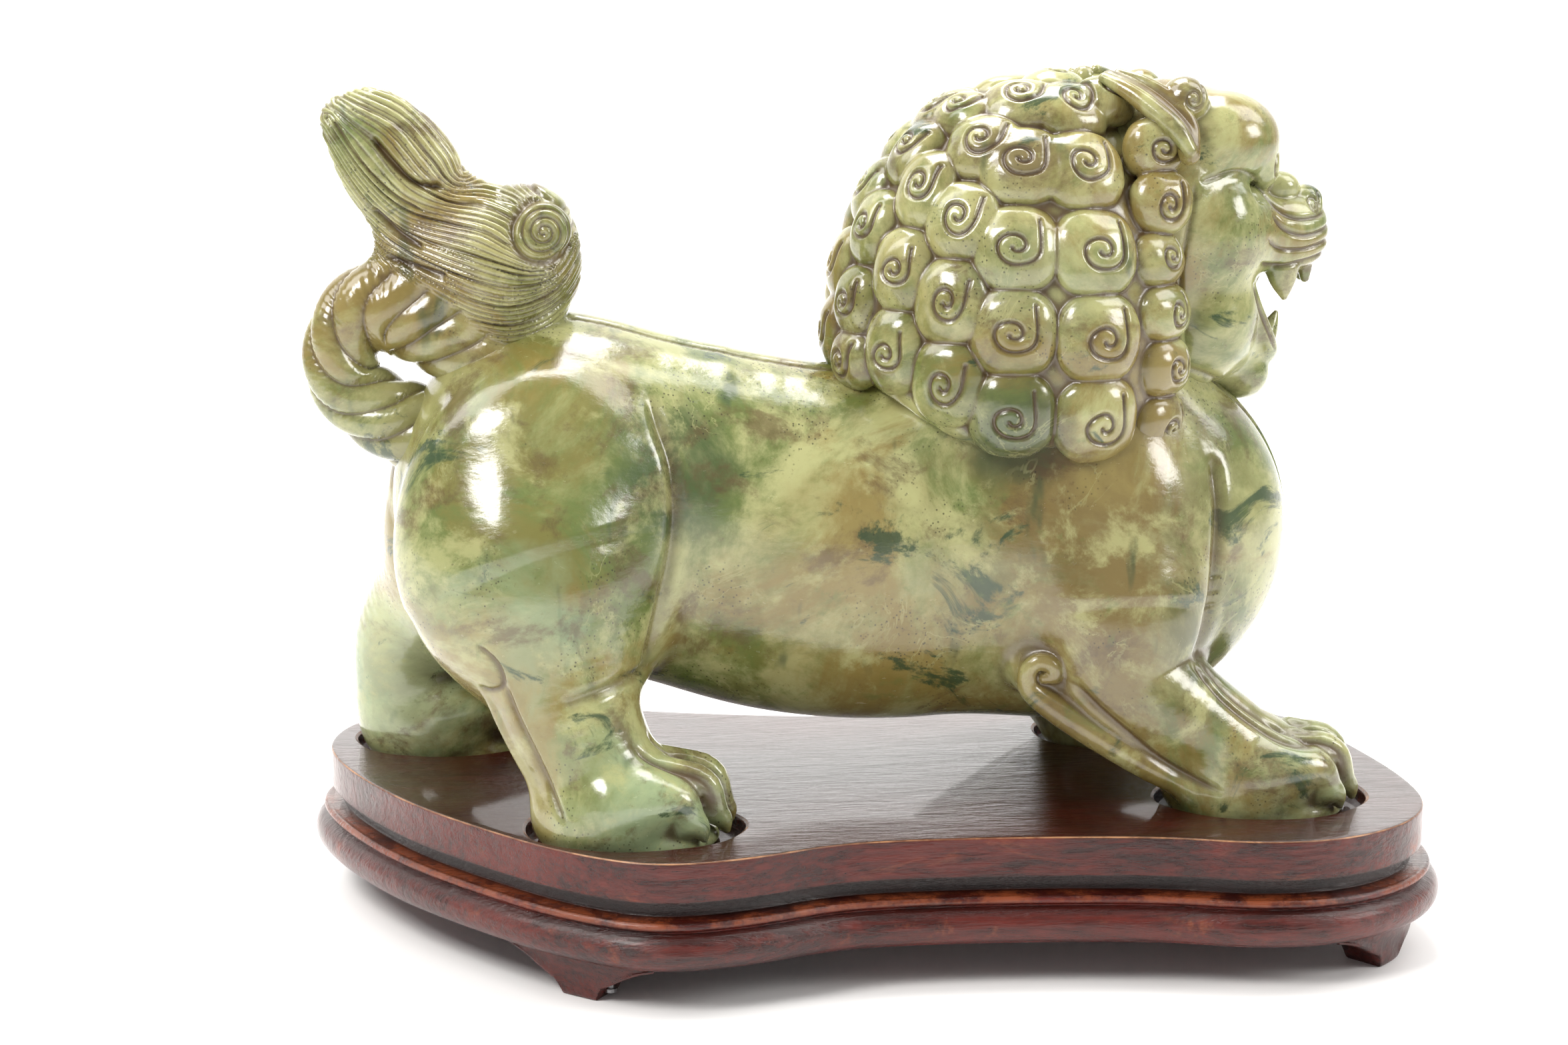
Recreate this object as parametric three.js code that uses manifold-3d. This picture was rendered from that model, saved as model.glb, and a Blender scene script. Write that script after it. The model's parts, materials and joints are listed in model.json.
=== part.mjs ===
// A carved jade guardian lion striding on a fitted hardwood stand.
// Millimetres, +Z up. +X is the way the lion walks and -Y is the display side, which is the lion's right.
import * as THREE from "three";
import { mergeVertices } from "three/addons/utils/BufferGeometryUtils.js";
import Module from "manifold-3d";

const wasm = await Module();
wasm.setup();

// Driving dimensions of the carving, measured over the stone.
const lionLength = 226;
const lionWidth = 96;
const lionHeight = 160;
const pawLength = 43;
const pawWidth = 31;
const pawHeight = 24;
const tailRopeRadius = 8;

// Driving dimensions of the stand.
const panelThickness = 9;
const bedHeight = 15;
const footHeight = 9.5;
const panelMargin = 28;
const grooveDepth = 2.6;
const grooveHeight = 3.5;
const bullnoseReach = 4;
const bullnoseHeight = 8;
const footSpan = 40;
const footToeWidth = 9.5;
const footToeHeight = 3.2;
const footThickness = 13;
const socketDepth = 3;
const socketClearance = 2.2;
const deckClearance = 0.3;

// Fasteners: two brads through each foot and four dowels between the two boards.
const bradShankRadius = 0.8;
const bradHeadRadius = 1.5;
const bradHeadHeight = 0.8;
const bradBite = 5;
const bradRecess = 1;
const bradSpacing = 4.4;
const dowelRadius = 3;
const dowelBite = 4.5;
const drillClearance = 0.3;

// Heights that follow from the sizes above.
const bedTop = footHeight + bedHeight;
const deckTop = bedTop + panelThickness;
const outlineSteps = 84;

// The carving's stations are laid out on this length, width and height over the deck.
const layout = new THREE.Vector3(226, 96, 160);
const stretch = new THREE.Vector3(lionLength, lionWidth, lionHeight).divide(layout);
const at = (x, y, z) => new THREE.Vector3(x, y, z).multiply(stretch);

// Where each paw's sole stands, seen from above.
const paws = {
  hindRight: { centre: at(-54, -36.5, 0), turn: -0.05 },
  hindLeft: { centre: at(-93, 38, 0), turn: 0.1 },
  foreRight: { centre: at(87, -27, 0), turn: 0.05 },
  foreLeft: { centre: at(69, 27, 0), turn: 0 },
};

// ---- Solids ----

function toSolid(geometry) {
  const bare = geometry.clone();
  bare.deleteAttribute("normal");
  bare.deleteAttribute("uv");
  const merged = mergeVertices(bare, 1e-4);
  const vertProperties = new Float32Array(merged.attributes.position.array);
  const triVerts = new Uint32Array(merged.index.array);
  return new wasm.Manifold(new wasm.Mesh({ numProp: 3, vertProperties, triVerts }));
}

function toGeometry(solid) {
  const mesh = solid.getMesh();
  const geometry = new THREE.BufferGeometry();
  const positions = new Float32Array(mesh.vertProperties);
  geometry.setAttribute("position", new THREE.BufferAttribute(positions, 3));
  geometry.setIndex(new THREE.BufferAttribute(new Uint32Array(mesh.triVerts), 1));
  geometry.computeVertexNormals();
  return geometry;
}

const joined = (solids) => solids.reduce((whole, next) => whole.add(next));

// An egg of stone: an ellipsoid turned by three angles about its own centre.
function egg(centre, radii, turn = [0, 0, 0], rings = 6) {
  const geometry = new THREE.SphereGeometry(1, rings * 2, rings);
  geometry.rotateX(Math.PI / 2);
  geometry.scale(...radii);
  geometry.applyMatrix4(new THREE.Matrix4().makeRotationFromEuler(new THREE.Euler(...turn)));
  geometry.translate(centre.x, centre.y, centre.z);
  return toSolid(geometry);
}

// A limb: round sections of changing radius carried along a smooth curve, with domed ends.
function limb(points, radii, sides = 10, steps = 2) {
  const curve = new THREE.CatmullRomCurve3(points);
  const count = (points.length - 1) * steps;
  const frames = curve.computeFrenetFrames(count, false);
  const radiusAt = (t) => {
    const place = Math.min(t * (radii.length - 1), radii.length - 1.0001);
    const low = Math.floor(place);
    return THREE.MathUtils.lerp(radii[low], radii[low + 1], place - low);
  };
  const rings = [];
  const addRing = (t, index, reach, share) => {
    const centre = curve.getPoint(t).addScaledVector(frames.tangents[index], reach);
    rings.push({ centre, radius: radiusAt(t) * share, index });
  };
  const domes = [0.45, 0.8];
  for (const share of domes) addRing(0, 0, -radiusAt(0) * Math.sqrt(1 - share * share), share);
  for (let i = 0; i <= count; i++) addRing(i / count, i, 0, 1);
  for (const share of domes.slice().reverse()) {
    addRing(1, count, radiusAt(1) * Math.sqrt(1 - share * share), share);
  }
  const positions = [];
  for (const { centre, radius, index } of rings) {
    for (let s = 0; s < sides; s++) {
      const angle = (s / sides) * 2 * Math.PI;
      const out = frames.normals[index].clone().multiplyScalar(Math.cos(angle));
      out.addScaledVector(frames.binormals[index], Math.sin(angle));
      positions.push(...out.multiplyScalar(radius).add(centre).toArray());
    }
  }
  return toSolid(closedLoft(positions, sides, rings.length));
}

// Joins equal rings of points into one closed skin, each end closed by a fan about its middle.
function closedLoft(positions, sides, ringCount) {
  const geometry = new THREE.BufferGeometry();
  const all = positions.slice();
  for (const ring of [0, ringCount - 1]) {
    const middle = [0, 0, 0];
    for (let s = 0; s < sides; s++) {
      for (let k = 0; k < 3; k++) middle[k] += positions[(ring * sides + s) * 3 + k] / sides;
    }
    all.push(...middle);
  }
  const first = ringCount * sides;
  const index = [];
  for (let s = 0; s < sides; s++) {
    const next = (s + 1) % sides;
    for (let r = 0; r < ringCount - 1; r++) {
      const a = r * sides + s;
      const b = r * sides + next;
      index.push(a, b, b + sides, a, b + sides, a + sides);
    }
    const last = (ringCount - 1) * sides;
    index.push(first, next, s, first + 1, last + s, last + next);
  }
  geometry.setAttribute("position", new THREE.BufferAttribute(new Float32Array(all), 3));
  geometry.setIndex(index);
  return geometry;
}

function rod(radius, height, x, y, bottom, sides = 16) {
  const geometry = new THREE.CylinderGeometry(radius, radius, height, sides);
  geometry.rotateX(Math.PI / 2);
  geometry.translate(x, y, bottom + height / 2);
  return toSolid(geometry);
}

function slab(width, depth, height, centre) {
  const geometry = new THREE.BoxGeometry(width, depth, height);
  geometry.translate(centre.x, centre.y, centre.z);
  return toSolid(geometry);
}

// ---- The lobed outline that both boards share ----

// Each paw pushes the edge out into a lobe. A point is [paw, x, y]: shares of the margin from that paw's middle.
const lobes = [
  ["hindRight", -1.04, -0.12],
  ["hindRight", -0.52, -0.62],
  ["hindRight", 0.12, -0.97],
  ["hindRight", 0.88, -0.86],
  ["hindRight", 1.6, -0.6],
  ["foreRight", -1.07, -1.0],
  ["foreRight", -0.25, -1.21],
  ["foreRight", 0.42, -1.15],
  ["foreRight", 0.98, -0.8],
  ["foreRight", 1.25, -0.34],
  ["foreRight", 1.28, 0.3],
  ["foreLeft", 1.76, -0.7],
  ["foreLeft", 1.48, 0.2],
  ["foreLeft", 0.85, 0.8],
  ["foreLeft", 0.1, 0.98],
  ["foreLeft", -0.85, 0.74],
  ["hindLeft", 3.1, 0.3],
  ["hindLeft", 1.7, 0.58],
  ["hindLeft", 0.75, 0.88],
  ["hindLeft", -0.12, 0.9],
  ["hindLeft", -0.82, 0.55],
  ["hindLeft", -1.07, -0.05],
  ["hindLeft", -1.0, -0.62],
];

function panelOutline() {
  const points = lobes.map(([paw, x, y]) => {
    const { centre } = paws[paw];
    return new THREE.Vector3(centre.x + x * panelMargin, centre.y + y * panelMargin, 0);
  });
  const slanted = points[0].clone().lerp(points[points.length - 1], 0.5);
  points.push(slanted.add(new THREE.Vector3(-3, -3, 0)));
  return new THREE.CatmullRomCurve3(points, true, "centripetal");
}

const edgeCurve = panelOutline();
const edge = edgeCurve.getSpacedPoints(outlineSteps).slice(0, outlineSteps);
const edgeBox = new THREE.Box3().setFromPoints(edge);
const edgeMiddle = edgeBox.getCenter(new THREE.Vector3());

// The way out of the board at each outline point.
const outward = edge.map((_, i) => {
  const before = edge[(i + outlineSteps - 1) % outlineSteps];
  const after = edge[(i + 1) % outlineSteps];
  return new THREE.Vector3(after.y - before.y, before.x - after.x, 0).normalize();
});

// A board whose edge follows a moulding profile: [reach beyond the outline, height], from the bottom up.
function mouldedBoard(profile) {
  const positions = [];
  for (const [reach, z] of profile) {
    edge.forEach((p, i) => {
      positions.push(p.x + outward[i].x * reach, p.y + outward[i].y * reach, z);
    });
  }
  const index = [];
  for (let r = 0; r < profile.length - 1; r++) {
    for (let i = 0; i < outlineSteps; i++) {
      const a = r * outlineSteps + i;
      const b = r * outlineSteps + ((i + 1) % outlineSteps);
      index.push(a, b, b + outlineSteps, a, b + outlineSteps, a + outlineSteps);
    }
  }
  for (const [ring, facesUp] of [[0, false], [profile.length - 1, true]]) {
    const start = ring * outlineSteps;
    const flat = edge.map((_, i) => {
      const k = (start + i) * 3;
      return new THREE.Vector2(positions[k], positions[k + 1]);
    });
    for (const [a, b, c] of THREE.ShapeUtils.triangulateShape(flat, [])) {
      if (facesUp) index.push(start + a, start + b, start + c);
      else index.push(start + a, start + c, start + b);
    }
  }
  const geometry = new THREE.BufferGeometry();
  geometry.setAttribute("position", new THREE.BufferAttribute(new Float32Array(positions), 3));
  geometry.setIndex(index);
  return toSolid(geometry);
}

// A paw's footprint as an upright oval block, grown all round.
function pawPrint(paw, grow, bottom, height) {
  const { centre, turn } = paws[paw];
  const geometry = new THREE.CylinderGeometry(1, 1, height, 28);
  geometry.rotateX(Math.PI / 2);
  geometry.scale(pawLength / 2 + grow, pawWidth / 2 + grow, 1);
  geometry.rotateZ(turn);
  geometry.translate(centre.x, centre.y, bottom + height / 2);
  return toSolid(geometry);
}

// ---- The jade lion ----

function pawStone(paw) {
  const { centre, turn } = paws[paw];
  const middle = centre.clone().add(new THREE.Vector3(0, 0, pawHeight * 0.2));
  const parts = [egg(middle, [pawLength / 2, pawWidth / 2, pawHeight * 0.62], [0, 0, turn])];
  for (const side of [-1, 0, 1]) {
    const toe = new THREE.Vector3(pawLength * 0.32, (side * pawWidth) / 3.6, pawHeight * 0.12);
    toe.applyAxisAngle(new THREE.Vector3(0, 0, 1), turn).add(centre);
    parts.push(egg(toe, [pawLength * 0.18, pawWidth * 0.17, pawHeight * 0.46], [0, 0, turn], 4));
  }
  return joined(parts);
}

function trunk() {
  return joined([
    egg(at(-70, -1, 64), [35, 35, 39], [0, 0.05, 0], 9),
    egg(at(-14, -3, 54), [74, 32, 37], [0, 0.06, 0], 9),
    egg(at(50, -2, 57), [47, 35, 42], [0, -0.25, 0], 9),
    egg(at(70, 2, 70), [24, 25, 26]),
    egg(at(46, -2, 92), [30, 27, 26]),
  ]);
}

function legs() {
  const { hindRight, hindLeft, foreRight, foreLeft } = paws;
  const onto = (paw, dx, dy, z) => new THREE.Vector3(paw.centre.x + dx, paw.centre.y + dy, z * stretch.z);
  return joined([
    egg(at(-68, -22, 56), [29, 19, 33], [0, 0.15, 0]),
    limb([at(-69, -24, 48), onto(hindRight, -13, 3, 27), onto(hindRight, -9, 1, 8)], [23, 15, 15]),
    egg(at(-80, 20, 56), [25, 18, 28], [0, 0.2, 0]),
    limb([at(-88, 24, 46), onto(hindLeft, -9, 0, 24), onto(hindLeft, -7, 0, 6)], [17, 12.5, 14]),
    egg(at(56, -21, 52), [27, 18, 32]),
    limb([at(52, -24, 40), onto(foreRight, -24, 0, 23), onto(foreRight, -7, 0, 9)], [20, 14, 12.5]),
    egg(at(50, 20, 52), [26, 17, 30]),
    limb([at(48, 22, 40), onto(foreLeft, -18, 0, 22), onto(foreLeft, -6, 0, 8)], [18, 13, 12]),
    ...Object.keys(paws).map(pawStone),
  ]);
}

// The mane is a domed cape of round curls that hangs from the crown: every second point of its grid is a curl.
function mane() {
  const curlHeight = 0.1;
  const curlsAround = 14;
  const curlsDown = 7;
  const geometry = new THREE.SphereGeometry(1, curlsAround * 2, curlsDown * 2);
  const points = geometry.attributes.position;
  const columns = curlsAround * 2 + 1;
  const point = new THREE.Vector3();
  for (let i = 0; i < points.count; i++) {
    const isCurl = (i % columns) % 2 === 0 && Math.floor(i / columns) % 2 === 1;
    point.fromBufferAttribute(points, i).multiplyScalar(isCurl ? 1 + curlHeight : 1);
    points.setXYZ(i, point.x, -point.z, point.y);
  }
  const middle = at(30, -5, 111.5);
  geometry.scale(38 * stretch.x, 37 * stretch.y, 46 * stretch.z);
  geometry.translate(middle.x, middle.y, middle.z);
  return toSolid(geometry);
}

function head() {
  return joined([
    egg(at(66, 2, 133), [24, 24, 25], [0, 0, 0.15], 10),
    egg(at(86, 5, 125), [15, 17, 11], [0, 0.2, 0.2]),
    egg(at(92, 5, 118), [9, 14, 7]),
    egg(at(80, 2, 98), [13, 14, 14], [0, 0.3, 0.2]),
    egg(at(74, 2, 110), [14, 20, 18]),
    egg(at(58, -24, 145), [12, 5, 14], [0.5, -0.6, 0]),
    egg(at(58, 28, 145), [12, 5, 14], [-0.5, -0.6, 0]),
  ]);
}

function tail() {
  const rope = tailRopeRadius;
  return joined([
    limb(
      [at(-96, -1, 74), at(-108, -1, 84), at(-116, -1, 98), at(-110, -1, 113), at(-94, -1, 113)],
      [rope * 1.1, rope, rope * 0.85, rope * 0.95, rope * 1.1],
      10,
      2,
    ),
    egg(at(-86, -1, 109), [23, rope * 2, 12], [0, -0.1, 0]),
    egg(at(-77, -1, 118), [13, rope * 1.9, 15], [0, 0, 0]),
    limb(
      [at(-82, 0, 123), at(-97, 1, 131), at(-106, 2, 141), at(-111, 3, 149)],
      [rope * 1.3, rope * 1.5, rope * 1.3, rope * 0.8],
    ),
    limb([at(-80, -1, 96), at(-80, -1, 112)], [rope * 1.8, rope * 1.4], 10, 1),
  ]);
}

function jadeLion() {
  const whole = joined([trunk(), legs(), mane(), head(), tail()]);
  const soles = joined(Object.keys(paws).map((paw) => pawPrint(paw, 0, -socketDepth, pawHeight)));
  const deep = 80;
  const below = slab(lionLength * 3, lionWidth * 3, deep, new THREE.Vector3(0, 0, deckClearance - deep / 2));
  return whole.subtract(below.subtract(soles));
}

// ---- The stand ----

function topPanel() {
  const arris = 0.5;
  let board = mouldedBoard([
    [0, bedTop],
    [0, deckTop - arris],
    [-arris, deckTop],
  ]);
  for (const paw of Object.keys(paws)) {
    board = board.subtract(pawPrint(paw, socketClearance, deckTop - socketDepth, socketDepth + 1));
  }
  for (const spot of dowelSpots()) {
    board = board.subtract(dowelHole(spot, bedTop - 1, dowelBite + 1 + drillClearance));
  }
  return board;
}

function baseMoulding() {
  const noseBottom = footHeight + 0.8;
  const noseMiddle = noseBottom + bullnoseHeight / 2;
  const profile = [[0.3, footHeight], [0.6, noseBottom]];
  for (const degrees of [-60, -30, 0, 30, 60]) {
    const angle = THREE.MathUtils.degToRad(degrees);
    profile.push([
      0.6 + (bullnoseReach - 0.6) * Math.cos(angle),
      noseMiddle + (bullnoseHeight / 2) * Math.sin(angle),
    ]);
  }
  const grooveFloor = bedTop - grooveHeight;
  const noseTop = noseBottom + bullnoseHeight;
  profile.push([1.6, noseTop], [1.9, (noseTop + grooveFloor) / 2], [1.2, grooveFloor]);
  profile.push([-grooveDepth, grooveFloor + 0.2], [-grooveDepth, bedTop]);
  let board = mouldedBoard(profile);
  for (const spot of dowelSpots()) {
    board = board.subtract(dowelHole(spot, bedTop - dowelBite - drillClearance, dowelBite + 1 + drillClearance));
  }
  for (const foot of feet) {
    for (const spot of foot.brads) {
      const bore = bradShankRadius + drillClearance;
      board = board.subtract(rod(bore, bradBite + 1 + drillClearance, spot.x, spot.y, footHeight - 1, 8));
    }
  }
  return board;
}

// A dowel stands inboard of each paw, where both boards are full thickness.
function dowelSpots() {
  const inboard = pawWidth / 2 + socketClearance + dowelRadius * 3;
  return Object.values(paws).map(({ centre }) => {
    const toMiddle = Math.sign(edgeMiddle.y - centre.y);
    return new THREE.Vector3(centre.x, centre.y + toMiddle * inboard, bedTop);
  });
}

const dowelHole = (spot, bottom, height) => rod(dowelRadius + drillClearance, height, spot.x, spot.y, bottom);

// The outline point that reaches furthest in a given direction, as an index into the edge.
function furthest(x, y) {
  const way = new THREE.Vector3(x, y, 0);
  let best = 0;
  edge.forEach((p, i) => {
    if (p.dot(way) > edge[best].dot(way)) best = i;
  });
  return best;
}

const footInset = 1;

// A bracket foot stands under the middle of each lobe and follows the outline.
const feet = [
  { name: "foot_front_left", where: furthest(-0.8, -1.15) },
  { name: "foot_front_right", where: furthest(1.15, -1) },
  { name: "foot_back_right", where: furthest(0.9, 1.3) },
  { name: "foot_back_left", where: furthest(-0.9, 1.1) },
].map((foot) => {
  const share = foot.where / outlineSteps;
  const inside = outward[foot.where].clone().multiplyScalar(-footInset - footThickness / 2);
  const middle = edge[foot.where].clone().add(inside);
  const along = new THREE.Vector3(-outward[foot.where].y, outward[foot.where].x, 0);
  const brads = [-1, 1].map((side) => middle.clone().addScaledVector(along, (side * bradSpacing) / 2));
  return { ...foot, share, middle, brads };
});

// The underside of a bracket: a flat toe, a short step, then a hollow sweep up to the wing's tip.
function bracketUnderside(distance) {
  const toe = footToeWidth / 2;
  const tip = footHeight - 1.4;
  if (distance <= toe) return 0;
  if (distance <= toe + 1.2) return footToeHeight * ((distance - toe) / 1.2);
  const sweep = (distance - toe - 1.2) / (footSpan / 2 - toe - 1.2);
  return footToeHeight + (tip - footToeHeight) * Math.sin((sweep * Math.PI) / 2) ** 1.3;
}

function bracketFoot(foot) {
  const length = edgeCurve.getLength();
  const toe = footToeWidth / 2;
  const half = footSpan / 2;
  const stops = [0.35, 0.6, 0.8, 1].map((share) => toe + 1.2 + (half - toe - 1.2) * share);
  const right = [toe, toe + 1.2, ...stops];
  const stations = [...right.map((s) => -s).reverse(), 0, ...right];
  const positions = [];
  for (const station of stations) {
    const share = (((foot.share + station / length) % 1) + 1) % 1;
    const spot = edgeCurve.getPointAt(share);
    const tangent = edgeCurve.getTangentAt(share);
    const out = new THREE.Vector3(tangent.y, -tangent.x, 0);
    const low = bracketUnderside(Math.abs(station));
    const lean = 1.6 * (1 - low / footHeight);
    const section = [
      [-footInset - lean, low],
      [-footInset - footThickness + lean, low],
      [-footInset - footThickness, footHeight],
      [-footInset, footHeight],
    ];
    for (const [reach, z] of section) {
      positions.push(spot.x + out.x * reach, spot.y + out.y * reach, z);
    }
  }
  let solid = toSolid(closedLoft(positions, 4, stations.length));
  for (const spot of foot.brads) {
    const bore = bradShankRadius + drillClearance;
    solid = solid.subtract(rod(bore, footHeight + 2, spot.x, spot.y, -1, 8));
    solid = solid.subtract(
      rod(bradHeadRadius + drillClearance, 1 + bradRecess + bradHeadHeight + drillClearance, spot.x, spot.y, -1, 12),
    );
  }
  return solid;
}

function brad(spot) {
  const head = rod(bradHeadRadius, bradHeadHeight, spot.x, spot.y, bradRecess, 12);
  const neck = bradRecess + bradHeadHeight / 2;
  const shank = rod(bradShankRadius, footHeight + bradBite - neck, spot.x, spot.y, neck, 8);
  return head.add(shank);
}

// ---- Materials and assembly ----

const jade = new THREE.MeshStandardMaterial({ color: 0x7d8a5a, roughness: 0.25, metalness: 0 });
const lacquer = new THREE.MeshStandardMaterial({ color: 0x4a1712, roughness: 0.3, metalness: 0 });
const beech = new THREE.MeshStandardMaterial({ color: 0xb08d5e, roughness: 0.7, metalness: 0 });
const steel = new THREE.MeshStandardMaterial({ color: 0x8b8d90, roughness: 0.4, metalness: 1 });

function piece(name, solid, material) {
  const mesh = new THREE.Mesh(toGeometry(solid), material);
  mesh.name = name;
  return mesh;
}

const stand = new THREE.Group();
stand.add(piece("top_panel", topPanel(), lacquer));
stand.add(piece("base_moulding", baseMoulding(), lacquer));
for (const foot of feet) {
  stand.add(piece(foot.name, bracketFoot(foot), lacquer));
  foot.brads.forEach((spot, i) => {
    stand.add(piece(foot.name.replace("foot", "brad") + "_" + (i + 1), brad(spot), steel));
  });
}
dowelSpots().forEach((spot, i) => {
  const solid = rod(dowelRadius, dowelBite * 2, spot.x, spot.y, bedTop - dowelBite);
  stand.add(piece("dowel_" + (i + 1), solid, beech));
});

const figure = new THREE.Group();
figure.position.z = deckTop;
figure.add(piece("jade_lion", jadeLion(), jade));

// The stand's outline is centred on the origin, with the soles of its feet at height 0.
const guardianLion = new THREE.Group();
guardianLion.add(stand, figure);
guardianLion.position.set(-edgeMiddle.x, -edgeMiddle.y, 0);

export default guardianLion;
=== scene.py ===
import json
import math
import bpy
import numpy as np
import openvdb
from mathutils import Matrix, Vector

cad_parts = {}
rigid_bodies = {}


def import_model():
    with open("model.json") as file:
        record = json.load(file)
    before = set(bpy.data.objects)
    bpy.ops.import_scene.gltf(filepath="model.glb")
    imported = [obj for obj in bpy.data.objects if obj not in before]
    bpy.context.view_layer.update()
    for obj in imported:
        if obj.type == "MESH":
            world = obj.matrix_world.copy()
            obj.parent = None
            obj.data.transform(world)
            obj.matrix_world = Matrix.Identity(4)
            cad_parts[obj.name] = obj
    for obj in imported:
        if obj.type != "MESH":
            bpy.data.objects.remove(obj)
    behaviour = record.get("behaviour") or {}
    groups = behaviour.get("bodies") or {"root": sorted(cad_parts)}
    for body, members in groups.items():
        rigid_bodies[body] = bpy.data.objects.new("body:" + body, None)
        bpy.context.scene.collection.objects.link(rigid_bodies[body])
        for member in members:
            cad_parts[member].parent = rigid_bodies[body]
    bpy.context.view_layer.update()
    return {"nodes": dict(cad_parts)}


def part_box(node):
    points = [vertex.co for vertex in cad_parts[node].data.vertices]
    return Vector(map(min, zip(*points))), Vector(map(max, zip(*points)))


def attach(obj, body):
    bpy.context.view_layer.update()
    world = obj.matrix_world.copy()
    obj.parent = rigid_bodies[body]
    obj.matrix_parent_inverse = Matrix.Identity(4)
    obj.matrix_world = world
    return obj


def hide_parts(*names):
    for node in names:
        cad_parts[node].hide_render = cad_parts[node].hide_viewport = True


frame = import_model()
mm = 0.001
look = {"stone": 0.5, "mane": 0.36, "tail": 0.3, "head": 0.33}  # sculpting grid in mm

# the stand's own heights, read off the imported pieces, in mm
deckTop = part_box("top_panel")[1].z / mm
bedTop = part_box("top_panel")[0].z / mm
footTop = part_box("base_moulding")[0].z / mm
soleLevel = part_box("jade_lion")[0].z / mm
paws = {  # middle of each sole and its turn, mm and radians
    "hindRight": (-54.0, -36.6, -0.05),
    "hindLeft": (-93.0, 37.9, 0.1),
    "foreRight": (87.0, -27.1, 0.05),
    "foreLeft": (69.0, 26.9, 0.0),
}
pawSize = (43.0, 31.0)


# clay: distances on a grid, smoothly joined

def curveThrough(points, perSpan=10):
    # Catmull-Rom through given points; columns past the third are radii and the like
    p = np.array(points, float)
    p = np.vstack([2 * p[0] - p[1], p, 2 * p[-1] - p[-2]])
    out = []
    for i in range(1, len(p) - 2):
        for t in np.linspace(0, 1, perSpan, endpoint=False):
            a, b, c, d = p[i - 1:i + 3]
            out.append(0.5 * (2 * b + (c - a) * t + (2 * a - 5 * b + 4 * c - d) * t * t
                              + (3 * b - a - 3 * c + d) * t ** 3))
    out.append(p[-2])
    return np.array(out)


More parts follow.
